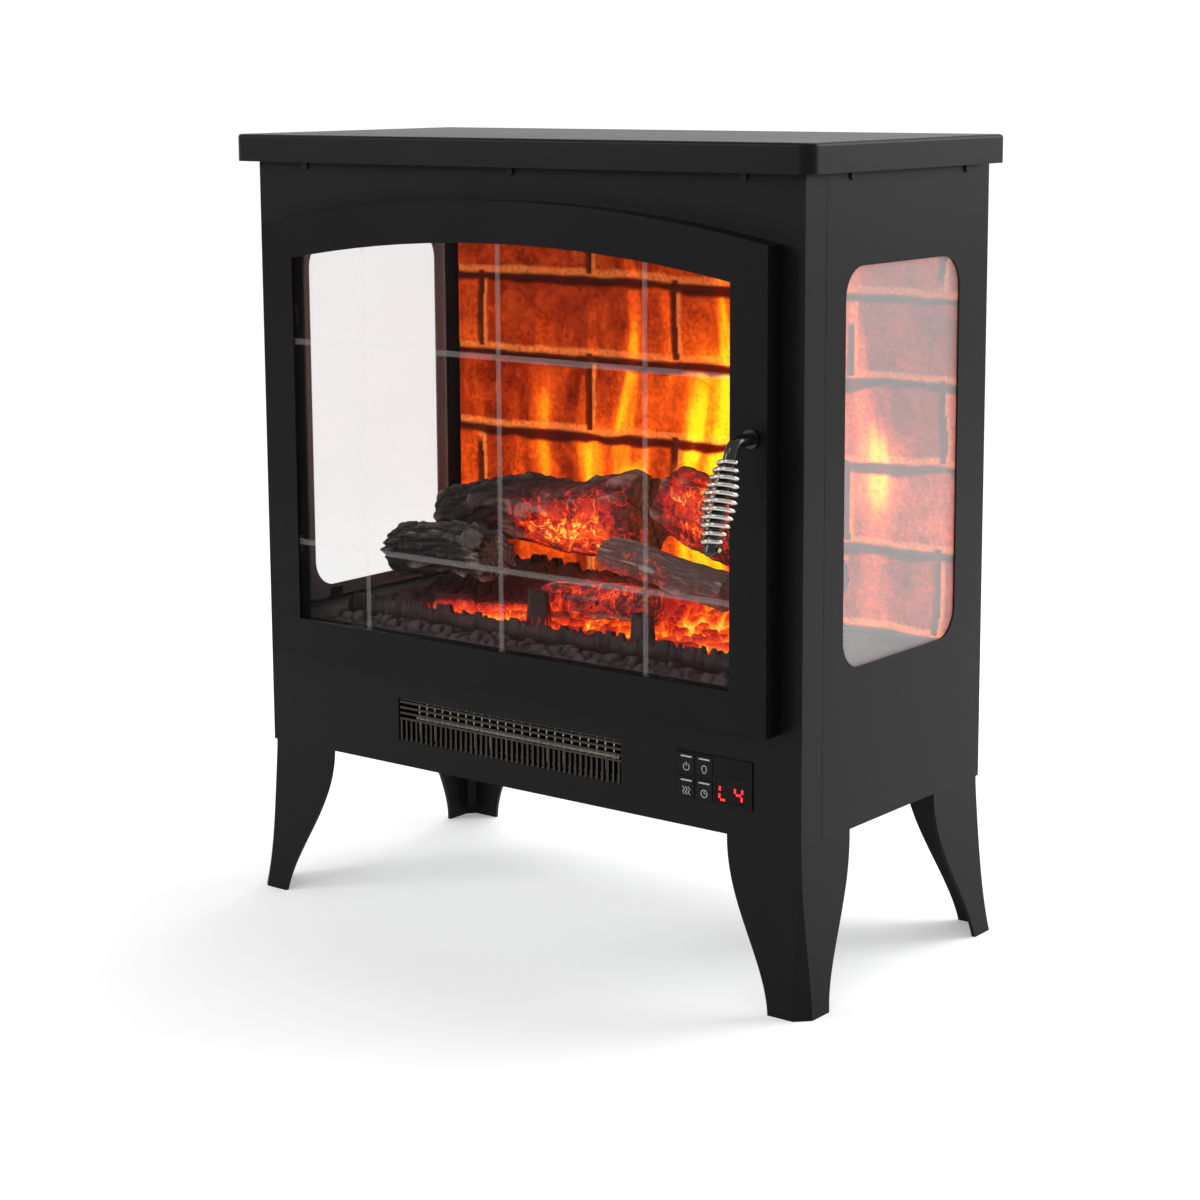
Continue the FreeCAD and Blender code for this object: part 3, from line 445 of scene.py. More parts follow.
finishes = {
    "powder_coat": powderCoat("powderCoat", (0.0042, 0.0042, 0.0045), 0.38),
    "door_coat": powderCoat("doorCoat", (0.0035, 0.0035, 0.0038), 0.34, sheen=0.10),
    "black_screws": powderCoat("screwBlack", (0.012, 0.012, 0.012), 0.3, 2600, 0.00003),
    "black_hardware": powderCoat("hingeBlack", (0.016, 0.016, 0.016), 0.35),
    "zinc_sheet": plainMetal("zincSheet", (0.52, 0.53, 0.54), 0.45),
    "deck_steel": powderCoat("deckBlack", (0.008, 0.006, 0.006), 0.6),
    "bright_steel": plainMetal("brightSteel", (0.62, 0.62, 0.62), 0.28),
    "side_glass": sideGlass(),
    "door_glass": doorGlass(),
    "handle_black": powderCoat("handleBlack", (0.005, 0.005, 0.005), 0.2, 1800, 0.00003, 0.5),
    "magnet": moulding("magnetBlack", (0.06, 0.06, 0.06), 0.5),
    "rotor_foil": plainMetal("mirrorFoil", (0.86, 0.86, 0.86), 0.16),
    "motor_steel": plainMetal("motorSteel", (0.45, 0.45, 0.45), 0.4),
    "moulded_grey": moulding("greyMoulding", (0.28, 0.28, 0.28), 0.5),
    "lamp_board": circuit("lampBoard", (0.7, 0.7, 0.66)),
    "circuit_board": circuit("circuitGreen", (0.02, 0.12, 0.04)),
    "wheel_black": moulding("wheelBlack", (0.02, 0.02, 0.02), 0.4),
    "heater_alloy": plainMetal("heaterAlloy", (0.62, 0.56, 0.48), 0.35),
    "grille_steel": plainMetal("grilleSteel", (0.055, 0.050, 0.042), 0.28, (1500, 1500, 200)),
    "gland_rubber": moulding("glandRubber", (0.015, 0.015, 0.015), 0.7),
    "key_black": moulding("keyBlack", (0.004, 0.004, 0.005), 0.35, 0.0, 0.12),
    "bezel_black": moulding("bezelBlack", (0.003, 0.003, 0.004), 0.35, 0.0, 0.10),
    "display_lens": moulding("displayLens", (0.004, 0.001, 0.001), 0.2, 0.0, 0.12),
}
slotOf = {part["node"]: part["material_slot"] for part in frame["record"]["subparts"]}
for name, thing in frame["nodes"].items():
    finish = finishes.get(slotOf.get(name))
    if finish:
        thing.data.materials.clear()
        thing.data.materials.append(finish)
print("finishes given to", len(frame["nodes"]), "nodes")


# brick screen

brick = {"pitch": 0.0014, "course": 0.0648, "firstJoint": 0.3610, "mortar": 0.0075, "recess": 0.0007,
         "wander": 0.0035, "shadow": 0.0105, "even": (-0.312, -0.107, 0.098, 0.231, 0.4),
         "odd": (-0.420, -0.223, -0.018, 0.150, 0.34)}
# each tongue: middle x, middle z, half width, half height, power
tongues = [(-0.095, 0.325, 0.015, 0.045, 0.75), (-0.053, 0.306, 0.012, 0.030, 0.55),
           (0.004, 0.395, 0.020, 0.050, 0.60), (0.045, 0.335, 0.015, 0.060, 0.55),
           (0.172, 0.352, 0.020, 0.034, 0.60), (-0.073, 0.405, 0.008, 0.050, 0.35),
           (0.080, 0.420, 0.014, 0.080, 0.50), (-0.150, 0.350, 0.010, 0.050, 0.30),
           (0.060, 0.360, 0.020, 0.060, 0.30), (0.030, 0.470, 0.009, 0.070, 0.40),
           (-0.032, 0.440, 0.007, 0.055, 0.35)]


def flameAt(x, z):
    # a low fire that grows to the right and fades upwards, cut into upright streaks, with tongues over it
    flat = np.zeros_like(x)
    power = (0.30 + 0.52 * step(x, -0.17, 0.03)) * (1 - 0.58 * step(z, 0.38, 0.56))
    power = power * (1 - 0.55 * step(x, 0.09, 0.19))
    lean = x + 0.008 * np.sin(z * 26 + x * 9)
    streak = step(roughness(np.stack([lean * 3.2, flat, z * 0.30], axis=1), 14, 11, 4), 0.32, 0.68)
    total = power * (0.40 + 0.60 * streak)
    for middle, high, wide, tall, share in tongues:
        shape = np.exp(-((lean - middle) / wide) ** 2 - ((z - high) / tall) ** 4)
        total += share * shape * (0.55 + 0.45 * streak)
    return np.clip(total, 0, 1.2)


def brickScreen():
    low, high = [np.array(corner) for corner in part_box("brick_screen")]
    xs = np.arange(low[0], high[0] + 1e-6, brick["pitch"])
    zs = np.arange(low[2], high[2] + 1e-6, brick["pitch"])
    xs[-1], zs[-1] = high[0], high[2]
    x, z = [grid.ravel() for grid in np.meshgrid(xs, zs, indexing="ij")]
    flat = np.zeros_like(x)
    spots = np.stack([x, flat, z], axis=1)
    # joints wander by slow noise; each course has its own offset and brick lengths
    wave = (roughness(spots, 22, 2, 3) - 0.5) * 2 * brick["wander"]
    level = (z - brick["firstJoint"] + wave) / brick["course"]
    course = np.floor(level)
    rise = (level - course) * brick["course"]
    place = x + wave + 0.004 * (hashed(np.stack([course, course * 0, course * 0], axis=1), 4) - 0.5)
    starts = np.where((course % 2 == 0)[:, None], brick["even"], brick["odd"])
    unit = (place[:, None] >= starts).sum(axis=1)
    run = place - np.take_along_axis(starts, unit[:, None] - 1, axis=1)[:, 0]
    beside = np.take_along_axis(starts, unit[:, None], axis=1)[:, 0] - place
    gap = brick["mortar"]
    edge = np.minimum(np.minimum(rise, brick["course"] - rise), np.minimum(run, beside))
    ragged = gap * (0.42 + 0.25 * roughness(spots, 90, 8, 3))
    joint = 1 - step(edge, ragged * 0.65, ragged * 1.3)
    # under each joint lies a ragged shadow, and one to the left of each upright joint
    below = brick["course"] - rise
    deep = brick["shadow"] * (0.45 + 0.9 * roughness(spots, 34, 14, 3))
    shadow = (1 - step(below, deep * 0.8, deep * 1.15)) * step(below, 0.0005, 0.003)
    shadow = np.maximum(shadow, (1 - step(beside, 0.004, 0.008)) * step(lumps(spots, 25, 23), 0.2, 0.4))
    tint = hashed(np.stack([course, unit, course * 0], axis=1), 6)
    depth = low[1] + 0.0002 + brick["recess"] * joint + 0.0003 * roughness(spots, 160, 9, 2)
    front = np.stack([x, depth, z], axis=1)
    back = np.stack([x, np.full_like(x, high[1]), z], axis=1)
    count = len(front)
    rim = borderRing(len(xs), len(zs))
    # the back is one flat cap made of the rim's points only
    points = np.vstack([front, back[rim]])
    spot = {int(v): count + k for k, v in enumerate(rim)}
    skirt = [[int(a), int(b), spot[int(b)], spot[int(a)]] for a, b in zip(rim, np.roll(rim, -1))]
    cap = [[spot[int(v)] for v in rim[::-1]]]
    painted = {"joint": joint, "shadow": shadow, "tint": tint, "firelight": flameAt(x, z)}
    painted = {key: np.concatenate([values, np.zeros(len(rim))]) for key, values in painted.items()}
    faces = gridFaces(len(xs), len(zs)).tolist() + skirt + cap
    piece = addPiece("brickScreen", points, faces, "cabinet", brickFinish(),
                     ["brick_screen"], painted=painted)
    finishMesh(piece)


def borderRing(rows, columns):
    # the grid's outer points in order round it
    grid = np.arange(rows * columns).reshape(rows, columns)
    return np.concatenate([grid[0, :-1], grid[:-1, -1], grid[-1, :0:-1], grid[:0:-1, 0]])


def brickFinish():
    # printed brick under orange light: brick and mortar colours times the glow, plus the flames
    shade = Maker("brickPrint")
    joint, shadow = shade.painted("joint", 2), shade.painted("shadow", 2)
    tint, flame = shade.painted("tint", 2), shade.painted("firelight", 2)
    z = shade.axes()[2]
    speck = shade.noise(330, 5, 0.75)
    blotch = shade.noise(38, 5, 0.65, warp=0.5)
    face = shade.ramp(tint * 0.22 + blotch * 0.75 + speck * 0.75 - 0.40, (0.22, (0.020, 0.003, 0.001)),
                      (0.42, (0.20, 0.022, 0.002)), (0.60, (0.48, 0.065, 0.005)), (0.85, (0.85, 0.22, 0.02)))
    mortar = shade.ramp(speck, (0.3, (0.34, 0.09, 0.02)), (0.7, (0.95, 0.30, 0.06)))
    colour = shade.blend(joint, face, mortar)
    pits = shade.ramp(shade.noise(260, 6, 0.8), (0.33, (1, 1, 1)), (0.43, (0, 0, 0)))
    colour = shade.blend(pits * 0.7, colour, (0.035, 0.006, 0.002))
    colour = shade.blend(shadow * 0.95, colour, (0.012, 0.002, 0.001))
    glowBase = (0.95 - (z - deckTop) * 1.75).most(0.22)
    glow = shade.node("ShaderNodeCombineColor", {}, [glowBase * 1.3, glowBase * 1.0, glowBase * 0.9])
    lit = shade.blend(1.0, colour, glow, "MULTIPLY")
    strength = flame * (0.36 + speck * 0.75 + blotch * 0.45 - joint * 0.10)
    strength = strength * (1 - shadow * 0.80) * (1 - pits * 0.35)
    fire = shade.ramp(strength, (0.0, (0.0, 0.0, 0.0)), (0.20, (0.16, 0.005, 0.0)),
                      (0.42, (0.75, 0.075, 0.002)), (0.60, (1.0, 0.36, 0.003)), (0.86, (1.0, 0.85, 0.01)))
    total = shade.blend(1.0, lit, fire, "ADD")
    return shade.set(Base_Color=shade.blend(0.85, colour, (0, 0, 0)), Roughness=0.8, Emission_Color=total,
                     Specular_IOR_Level=0.02, Emission_Strength=1.0, Normal=shade.relief(speck, 0.0004, 0.5))


brickScreen()
print("brick screen made")


# log set

# each hot place: where, with y from the cabinet's middle, then its reach and power
hotSpots = [((-0.025, -0.015, 0.288), 0.046, 0.95), ((-0.085, 0.000, 0.296), 0.030, 0.55),
            ((0.075, -0.010, 0.345), 0.042, 0.85), ((0.022, -0.030, 0.246), 0.026, 1.3),
            ((-0.060, -0.045, 0.236), 0.024, 1.3), ((0.140, -0.050, 0.238), 0.028, 1.4),
            ((-0.115, -0.065, 0.234), 0.030, 0.75), ((0.055, -0.050, 0.262), 0.034, 0.45),
            ((-0.015, -0.085, 0.232), 0.026, 0.60), ((0.190, -0.070, 0.236), 0.026, 0.55),
            ((0.085, -0.005, 0.236), 0.040, 1.0), ((-0.060, -0.060, 0.232), 0.080, 0.24),
            ((0.060, -0.060, 0.250), 0.080, 0.26), ((0.170, -0.060, 0.240), 0.060, 0.20)]


def heatAt(points):
    # sum of round hot places, each falling off as a bell curve
    total = np.zeros(len(points))
    for (x, y, z), reach, power in hotSpots:
        away = np.linalg.norm(points - np.array([x, y + middleY, z]), axis=1)
        total += power * np.exp(-(away / reach) ** 2)
    return np.clip(total, 0, 1)


bark = {"rings": 190, "sides": 150, "capRings": 14}
# each log: seed, furrow depth, furrows round, bow of its axis, share of the heat, finish
logShapes = {
    "log_left": {"seed": 3, "furrow": 0.0060, "round": 9, "bow": 0.006, "heat": 0.10, "finish": "charred"},
    "log_back": {"seed": 8, "furrow": 0.0062, "round": 8, "bow": 0.010, "heat": 1.0, "finish": "glowing"},
    "log_right": {"seed": 15, "furrow": 0.0050, "round": 7, "bow": 0.005, "heat": 1.0, "finish": "glowing"},
    "log_split": {"seed": 21, "furrow": 0.0030, "round": 8, "bow": 0.004, "heat": 0.5, "finish": "ash"},
    "log_front": {"seed": 27, "furrow": 0.0028, "round": 6, "bow": 0.004, "heat": 0.72, "finish": "glowing"},
    "log_stub": {"seed": 33, "furrow": 0.0018, "round": 5, "bow": 0.001, "heat": 0.15, "finish": "stub"},
}
logFinishes = {
    "charred": logFinish("charredBark", (0.004, 0.003, 0.003), (0.240, 0.170, 0.140), 0.8),
    "glowing": logFinish("glowingBark", (0.007, 0.002, 0.002), (0.210, 0.110, 0.085), 1.1),
    "ash": logFinish("ashWood", (0.012, 0.008, 0.006), (0.200, 0.170, 0.145), 0.9, 0.35),
    "stub": logFinish("cutStub", (0.035, 0.028, 0.020), (0.260, 0.210, 0.150), 0.6, 0.2),
}


def logAxis(node):
    # the axis of a tapered round, from its mesh: the longest direction through its middle
    thing = frame["nodes"][node]
    points = np.empty(len(thing.data.vertices) * 3)
    thing.data.vertices.foreach_get("co", points)
    points = points.reshape(-1, 3)
    spread = points - points.mean(0)
    along = np.linalg.svd(spread[::max(1, len(spread) // 4000)], full_matrices=False)[2][0]
    along *= np.sign(along[0])
    reach = spread @ along
    start, end = points.mean(0) + along * reach.min(), points.mean(0) + along * reach.max()

    def radiusNear(limit, first):
        part = points[(reach < limit) if first else (reach > limit)]
        rest = part - start
        return np.linalg.norm(rest - (rest @ along)[:, None] * along, axis=1).max()
    span = reach.max() - reach.min()
    return start, end, radiusNear(reach.min() + span * 0.2, True), radiusNear(reach.max() - span * 0.2, False)


def barkLog(node, shape):
    # a tapered round: rings carried along a bowed axis, with furrows cut by stretched ridged noise
    start, end, thick, thin = logAxis(node)
    rings, sides, capRings = bark["rings"], bark["sides"], bark["capRings"]
    t = np.linspace(0, 1, rings)
    length = np.linalg.norm(end - start)
    along = (end - start) / length
    side = np.cross(along, [0, 0, 1.0])
    side /= np.linalg.norm(side)
    over = np.cross(side, along)
    u = np.repeat(t, sides)
    angle = np.tile(np.linspace(0, 2 * math.pi, sides, endpoint=False), rings)
    around = np.stack([np.cos(angle), np.sin(angle)], axis=1)
    seed = shape["seed"]
    cylinder = np.stack([around[:, 0] * shape["round"] / 3, around[:, 1] * shape["round"] / 3,
                         u * length * 26], axis=1)
    warp = roughness(cylinder * 0.6, 1.0, seed + 40, 2)[:, None]
    furrow = np.abs(roughness(cylinder + warp * 1.2, 1.0, seed, 4) - 0.5) * 4
    ridge = np.clip(furrow, 0, 1)
    across = np.stack([u * length * 55, around[:, 0] * 1.2, around[:, 1] * 1.2], axis=1)
    cross = np.abs(lumps(across, 1.0, seed + 7) - 0.5) * 4
    ridge = ridge * (0.55 + 0.45 * np.clip(cross * 1.6, 0, 1))
    wide = np.stack([around[:, 0] * 1.4, around[:, 1] * 1.4, u * length * 14], axis=1)
    plates = roughness(wide, 1.0, seed + 19, 2)
    radius = (thick + (thin - thick) * u) * (0.90 + 0.10 * plates)
    narrow = np.stack([around[:, 0] * 6, around[:, 1] * 6, u * length * 90], axis=1)
    chips = roughness(narrow, 1.0, seed + 60, 3)
    radius = radius - shape["furrow"] * (1 - ridge) - shape["furrow"] * 0.45 * chips
    radius *= np.sqrt(np.clip(1 - np.clip((0.045 - u) / 0.045, 0, 1) ** 2 * 0.16, 0, 1))
    radius *= np.sqrt(np.clip(1 - np.clip((u - 0.955) / 0.045, 0, 1) ** 2 * 0.16, 0, 1))
    sway = lumps(np.stack([u * 3, u * 0, u * 0], axis=1), 1, seed) - 0.3
    bow = (np.sin(u * math.pi) * shape["bow"] * sway)[:, None]
    outward = side * around[:, :1] + over * around[:, 1:]
    points = start + along * (u * length)[:, None] + outward * radius[:, None] + over * bow
    faces = [list(f) for f in gridFaces(rings, sides, wrapColumns=True)]
    painted = {"ridge": ridge}
    # cut ends: rings that shrink to the middle, with growth rings and splits pressed in
    for first in (True, False):
        base = 0 if first else (rings - 1) * sides
        rim = points[base:base + sides]
        centre = rim.mean(0)
        before = np.arange(base, base + sides)
        for k in range(1, capRings + 1):
            share = 1 - k / capRings
            grain = 0.5 + 0.5 * np.sin(share * 24 + 1.5 * np.sin(angle[:sides] * 3 + seed))
            split = np.clip(1 - np.abs(np.sin(angle[:sides] * 2.5 + seed)) * 7, 0, 1) * (0.3 + share)
            inward = along if first else -along
            if k < capRings:
                ring = centre + (rim - centre) * share + inward * ((0.0004 * grain + 0.003 * split)[:, None])
                index = np.arange(len(points), len(points) + sides)
                points = np.vstack([points, ring])
                painted["ridge"] = np.concatenate([painted["ridge"], 0.75 - 0.5 * split - 0.25 * grain])
                for a in range(sides):
                    b = (a + 1) % sides
                    faces.append([int(before[a]), int(index[a]), int(index[b]), int(before[b])] if first
                                 else [int(before[a]), int(before[b]), int(index[b]), int(index[a])])
                before = index
            else:
                middle = len(points)
                points = np.vstack([points, centre + inward * 0.0008])
                painted["ridge"] = np.append(painted["ridge"], 0.4)
                for a in range(sides):
                    b = (a + 1) % sides
                    faces.append([int(before[a]), middle, int(before[b])] if first
                                 else [int(before[a]), int(before[b]), middle])
    painted["hot"] = heatAt(points) * shape["heat"]
    piece = addPiece(node.replace("log_", "log").title().replace("L", "l", 1), points, faces, "cabinet",
                     logFinishes[shape["finish"]], [node], painted=painted)
    finishMesh(piece)


for node, shape in logShapes.items():
    barkLog(node, shape)
print("logs made")


# embers and coals

bed = {"columns": 280, "rows": 130, "stripColumns": 320, "stripRows": 22}


def emberFinish(name, dark, pale, glow):
    shade = Maker(name)
    ridge, hot = shade.painted("ridge", 2), shade.painted("hot", 2)
    fine = shade.noise(300, 5, 0.65)
    crumb = shade.noise(110, 4, 0.6)
    # dark in the joints between coals, pale on their tops: soot, with painted shade in the joints and a
    # painted highlight on the tops
    sootShadeAndHighlight = shade.ramp(ridge * 0.8 + fine * 0.4 - 0.1, (0.25, dark), (0.85, pale))
    vein = shade.cracks(46, 0.03)
    lit = shade.ramp((hot * (1 - ridge) * 0.75 + hot * crumb * 0.42 + hot * vein * 0.22) * glow, *heat)
    return shade.set(Base_Color=sootShadeAndHighlight, Roughness=fine * 0.3 + 0.6, Emission_Color=lit, Emission_Strength=1.0,
                     Normal=shade.relief(fine + crumb, 0.001, 0.7))


def moundPiece(name, node, finish, heightAt, columns, rows, share):
    # a height field over the node's plan, closed by walls down to a flat underside
    low, high = [np.array(corner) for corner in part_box(node)]
    xs, ys = np.linspace(low[0], high[0], columns), np.linspace(low[1], high[1], rows)
    x, y = [grid.ravel() for grid in np.meshgrid(xs, ys, indexing="ij")]
    height, ridge, cool = heightAt(x, y, low, high)
    top = np.stack([x, y, np.clip(low[2] + height, low[2] + 0.0006, high[2])], axis=1)
    rim = borderRing(columns, rows)
    under = np.column_stack([x[rim], y[rim], np.full(len(rim), low[2])])
    points = np.vstack([top, under])
    spot = {int(v): len(top) + k for k, v in enumerate(rim)}
    faces = [list(f) for f in gridFaces(columns, rows)]
    faces += [[int(a), int(b), spot[int(b)], spot[int(a)]] for a, b in zip(rim, np.roll(rim, -1))]
    faces += [[spot[int(v)] for v in rim[::-1]]]
    hot = np.concatenate([heatAt(top) * share * (1 - cool), np.zeros(len(rim))])
    piece = addPiece(name, points, faces, "cabinet", finish, [node],
                     painted={"ridge": np.concatenate([ridge, np.ones(len(rim))]), "hot": hot})
    finishMesh(piece)


def cells(x, y, scale, seed):
    # distance to the nearest and second nearest of scattered points, and the nearest one's random number
    px, py = x * scale, y * scale
    bx, by = np.floor(px), np.floor(py)
    best, second, mark = np.full(len(x), 9.0), np.full(len(x), 9.0), np.zeros(len(x))
    for dx in (-1, 0, 1):
        for dy in (-1, 0, 1):
            cell = np.stack([bx + dx, by + dy, bx * 0], axis=1)
            cx = bx + dx + 0.15 + 0.7 * hashed(cell, seed)
            cy = by + dy + 0.15 + 0.7 * hashed(cell, seed + 50)
            away = np.hypot(px - cx, py - cy)
            nearer = away < best
            second = np.where(nearer, best, np.minimum(second, away))
            mark = np.where(nearer, hashed(cell, seed + 90), mark)
            best = np.where(nearer, away, best)
    return best, second, mark


def bedHeight(x, y, low, high):
    # broken coals: cell shapes with sunk joints, heaped towards the back where the long log lies
    near, far, mark = cells(x, y, 62, 2)
    joint = step(far - near, 0.04, 0.30)
    small, smallFar, smallMark = cells(x, y, 130, 9)
    crumb = step(smallFar - small, 0.05, 0.3)
    back = step(y, low[1] + 0.085, low[1] + 0.125) * (1 - step(x, 0.10, 0.16))
    height = 0.004 + 0.009 * mark * joint + 0.003 * crumb * smallMark + 0.020 * back
    front = 1 - step(y, low[1] + 0.004, low[1] + 0.009)
    height = np.maximum(height, (0.013 + 0.007 * crumb * smallMark) * front)
    cool = front
    for (cx, cy, tall, turn) in ((-0.0145, -0.0765, 0.0405, 0.5), (0.0850, -0.0765, 0.0330, -0.4)):
        ax = (x - cx) * math.cos(turn) + (y - cy - middleY) * math.sin(turn)
        ay = -(x - cx) * math.sin(turn) + (y - cy - middleY) * math.cos(turn)
        inside = (1 - step(np.abs(ax), 0.0068, 0.0092)) * (1 - step(np.abs(ay), 0.0055, 0.008))
        height = np.maximum(height, (tall - 0.35 * np.abs(ax + 0.006)) * inside)
        cool = np.maximum(cool, step(inside, 0.02, 0.2))
    sides = step(np.minimum(x - low[0], high[0] - x), 0.0, 0.014)
    return height * sides, np.clip(joint * (0.4 + 0.6 * mark) * (0.7 + 0.3 * crumb), 0, 1), cool * 0.92


def coalHeight(x, y, low, high):
    near, far, mark = cells(x, y, 95, 31)
    joint = step(far - near, 0.03, 0.35)
    across = np.sin(np.clip((y - low[1]) / (high[1] - low[1]), 0, 1) * math.pi) ** 0.6
    return (0.0018 + 0.0068 * mark * joint) * across, np.clip(joint * (0.5 + 0.5 * mark), 0, 1), x * 0


moundPiece("emberBed", "ember_bed",
           emberFinish("emberResin", (0.004, 0.0015, 0.001), (0.035, 0.012, 0.008), 1.0),
           bedHeight, bed["columns"], bed["rows"], 0.95)
moundPiece("coalStrip", "coal_strip",
           emberFinish("coalResin", (0.003, 0.002, 0.002), (0.042, 0.028, 0.026), 0.5),
           coalHeight, bed["stripColumns"], bed["stripRows"], 0.2)
print("embers and coals made")


# handle coil

coil = {"turns": 11, "wire": 0.0017, "widest": 0.0125, "top": 0.0072, "end": 0.0052, "length": 0.064,
        "rod": 0.0045, "lean": 20, "perTurn": 36, "sides": 12}


def handleCoil():
    # wire carried along a helix whose radius is a parabola: narrow at both ends, widest in the middle
    thing = frame["nodes"]["handle_coil"]
    points = np.empty(len(thing.data.vertices) * 3)
    thing.data.vertices.foreach_get("co", points)
    points = points.reshape(-1, 3)
    middle = points.mean(0)
    lean = math.radians(coil["lean"])
    down = np.array([0, -math.sin(lean), -math.cos(lean)])
    reach = (points - middle) @ down
    start = middle + down * reach.min()
    start[0] = (points[:, 0].min() + points[:, 0].max()) / 2
    t = np.linspace(0, 1, coil["turns"] * coil["perTurn"])
    base = coil["top"] + (coil["end"] - coil["top"]) * t
    radius = base + (coil["widest"] - (coil["top"] + coil["end"]) / 2) * 4 * t * (1 - t) - coil["wire"]
    radius = np.maximum(radius, coil["rod"] + coil["wire"] * 1.02)
    angle = t * coil["turns"] * 2 * math.pi
    side, other = np.array([1.0, 0, 0]), np.cross(down, [1.0, 0, 0])
    # the axis through the sleeve, put back on the rod
    offset = points - start
    across = offset - (offset @ down)[:, None] * down
    start = start + other * ((across @ other).min() + (across @ other).max()) / 2
    inset = coil["wire"] * 1.05
    path = (start + down * (inset + t * (coil["length"] - 2 * inset))[:, None]
            + (side * np.cos(angle)[:, None] + other * np.sin(angle)[:, None]) * radius[:, None])
    wirePoints, faces = tube(path, coil["wire"], coil["sides"])
    piece = addPiece("handleCoil", wirePoints, faces, "door",
                     plainMetal("coilNickel", (0.62, 0.57, 0.53), 0.18, (2200, 2200, 2200)), ["handle_coil"])
    finishMesh(piece)


handleCoil()
print("handle coil made")


# keys and display

# bar: width and height of the painted highlight, a light strip along each key's top edge
keys = {"proud": 0.00012, "bar": (0.0095, 0.0011), "line": 0.00055}
power, flameMark, waves, timer = "power_button", "flame_button", "heat_button", "timer_button"


def arcLine(centre, radius, start, end, count=20):
    angle = np.linspace(math.radians(start), math.radians(end), count)
    return np.stack([centre[0] + radius * np.cos(angle), centre[1] + radius * np.sin(angle)], axis=1)


def ribbon(lines, width, frontY, thick):
    # flat strips along x-z lines: both edges offset square to the line, given a small thickness
    points, faces = [], []
    for line in lines:
        line = np.asarray(line, float)
        tangent = np.gradient(line, axis=0)
        tangent /= np.linalg.norm(tangent, axis=1)[:, None] + 1e-12
        normal = np.stack([-tangent[:, 1], tangent[:, 0]], axis=1) * width / 2
        corners = np.stack([line - normal, line + normal], axis=1)
        start = len(points)
        section = np.stack([corners[:, 0], corners[:, 1], corners[:, 1], corners[:, 0]], axis=1)
        depth = np.array([frontY, frontY, frontY + thick, frontY + thick])
        depths = np.broadcast_to(depth, section.shape[:2])
        ring = np.stack([section[:, :, 0], depths, section[:, :, 1]], axis=2)
        points += ring.reshape(-1, 3).tolist()
        faces += (gridFaces(len(line), 4, wrapColumns=True) + start).tolist()
        last = start + (len(line) - 1) * 4
        faces += [[start, start + 1, start + 2, start + 3], [last + 3, last + 2, last + 1, last]]
    return points, faces


def markFinish(name, colour, strength):
    # the colour is also given as emission: for the red segments it is the display's own light, for the grey
    # key marks it is painted light
    shade = Maker(name)
    tone = shade.ramp(shade.noise(900, 2), (0.2, tuple(c * 0.85 for c in colour)), (0.8, colour))
    return shade.set(Base_Color=tone, Roughness=0.5, Emission_Color=tone, Emission_Strength=strength)


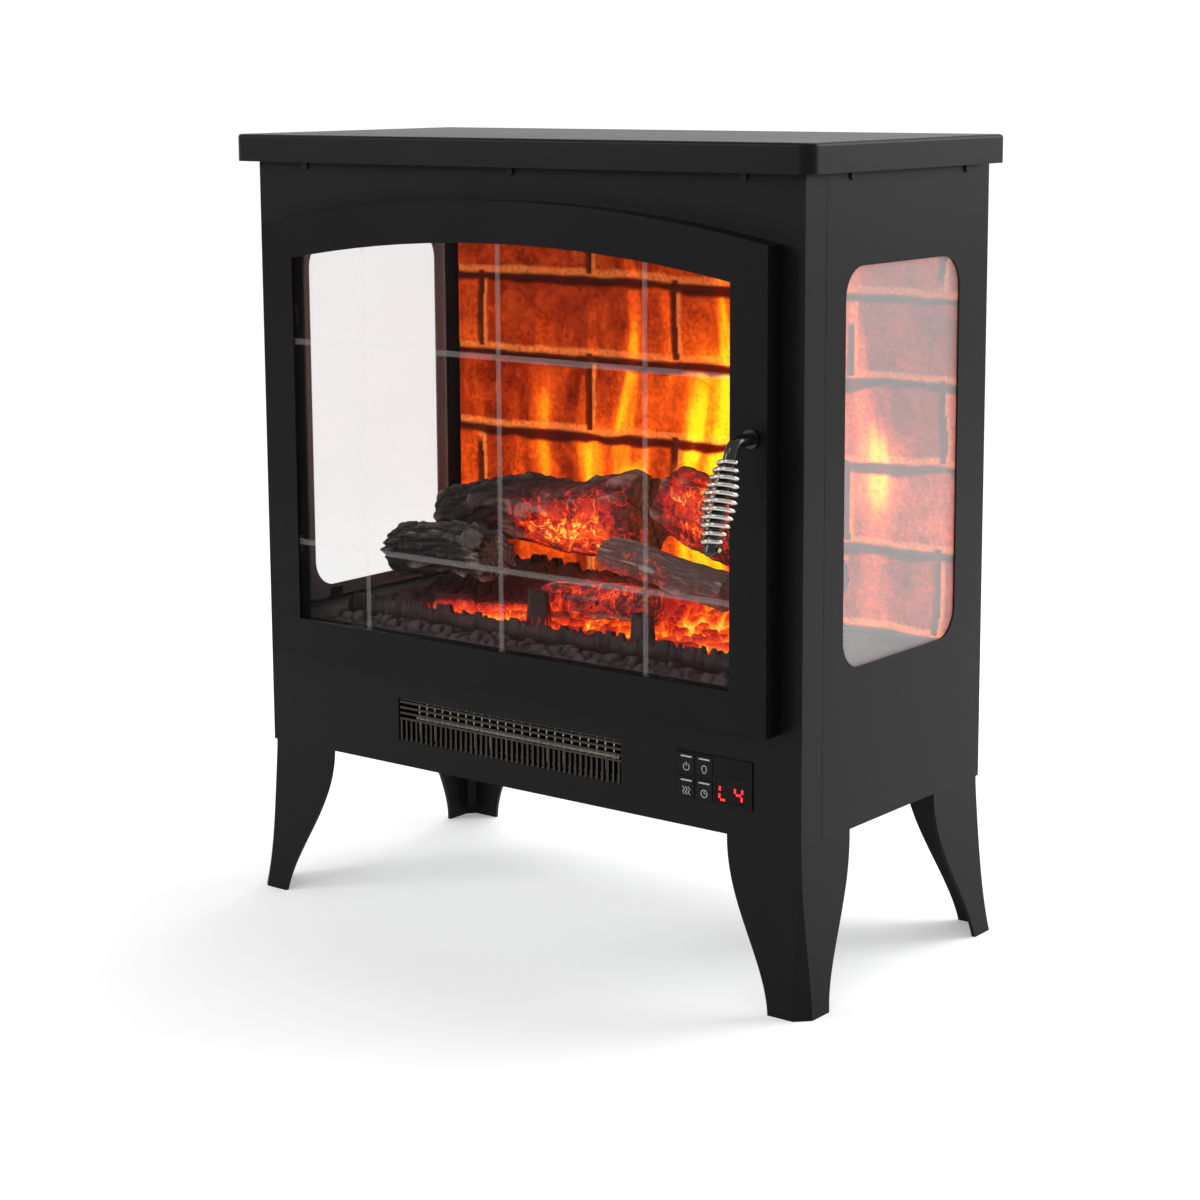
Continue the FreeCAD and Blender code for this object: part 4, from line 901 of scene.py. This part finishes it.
def keyMarksAndHighlights():
    # the grey key marks and the painted highlight bars share this finish; its faint glow is painted light
    marksWithPaintedLight = markFinish("printedMarkPaintedLight", (0.30, 0.30, 0.30), 0.25)
    for node in (power, flameMark, waves, timer):
        low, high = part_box(node)
        cx, top, frontY = (low[0] + high[0]) / 2, high[2], low[1] - keys["proud"]
        iconZ = top - 0.0098
        # the light strip along the top of each key is a painted highlight, where the key's top edge would
        # catch the light
        wide, tall = keys["bar"]
        bar = [[(cx - wide / 2, top - 0.0022), (cx + wide / 2, top - 0.0022)]]
        if node == power:
            icon = [arcLine((cx, iconZ), 0.0026, 120, 420), [(cx, iconZ + 0.0006), (cx, iconZ + 0.0036)]]
        elif node == timer:
            hands = [(cx, iconZ + 0.0018), (cx, iconZ), (cx + 0.0014, iconZ)]
            icon = [arcLine((cx, iconZ), 0.0027, 0, 360, 28), hands]
        elif node == waves:
            z = np.linspace(-0.003, 0.003, 16)
            icon = [np.stack([cx + shift + 0.0007 * np.sin(z * 1600), iconZ + z], axis=1)
                    for shift in (-0.0024, 0, 0.0024)]
        else:
            s = np.linspace(0, 1, 24)
            icon = [np.stack([cx + 0.0024 * np.sin(s * 2 * math.pi) * (0.4 + 0.6 * np.sin(s * math.pi)),
                              iconZ - 0.0028 + 0.0058 * np.sin(s * math.pi) ** 2], axis=1)]
        points, faces = ribbon(icon, keys["line"], frontY, keys["proud"])
        barPoints, barFaces = ribbon(bar, tall, frontY, keys["proud"])
        faces = faces + (np.array(barFaces) + len(points)).tolist()
        piece = addPiece(node.replace("_button", "MarksAndHighlight"), points + barPoints, faces, node,
                         marksWithPaintedLight, smooth=False)
        finishMesh(piece)


digits = {"tall": 0.0124, "wide": 0.0078, "stroke": 0.0016, "gap": 0.0003, "places": (0.565, 0.76),
          "slant": 0.08, "reading": ("left-up left-down bottom", "left-up middle right-up right-down")}


def segmentLines(x, z, names):
    # seven-segment strokes: six round the edge of a box and one across its middle
    stroke = digits["stroke"]
    w, h, g = digits["wide"] - stroke, digits["tall"] - stroke, digits["gap"] + stroke / 2
    strokes = {"bottom": ((g, 0), (w - g, 0)), "middle": ((g, h / 2), (w - g, h / 2)),
               "top": ((g, h), (w - g, h)),
               "left-down": ((0, g), (0, h / 2 - g)), "left-up": ((0, h / 2 + g), (0, h - g)),
               "right-down": ((w, g), (w, h / 2 - g)), "right-up": ((w, h / 2 + g), (w, h - g))}
    return [[(x + a + digits["slant"] * b, z + b) for a, b in strokes[name]] for name in names.split()]


def displayDigits():
    low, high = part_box("control_bezel")
    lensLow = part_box("display_module")[0]
    width = high[0] - low[0]
    lines = []
    for share, names in zip(digits["places"], digits["reading"]):
        lines += segmentLines(low[0] + width * share + 0.0008, lensLow[2] + 0.0012, names)
    frontY = lensLow[1] - 0.00015
    points, faces = ribbon(lines, digits["stroke"], frontY, 0.00015)
    piece = addPiece("displayDigits", points, faces, "cabinet",
                     markFinish("redSegments", (1.0, 0.02, 0.015), 1.6), smooth=False)
    finishMesh(piece)


keyMarksAndHighlights()
displayDigits()
print("keys and display made")
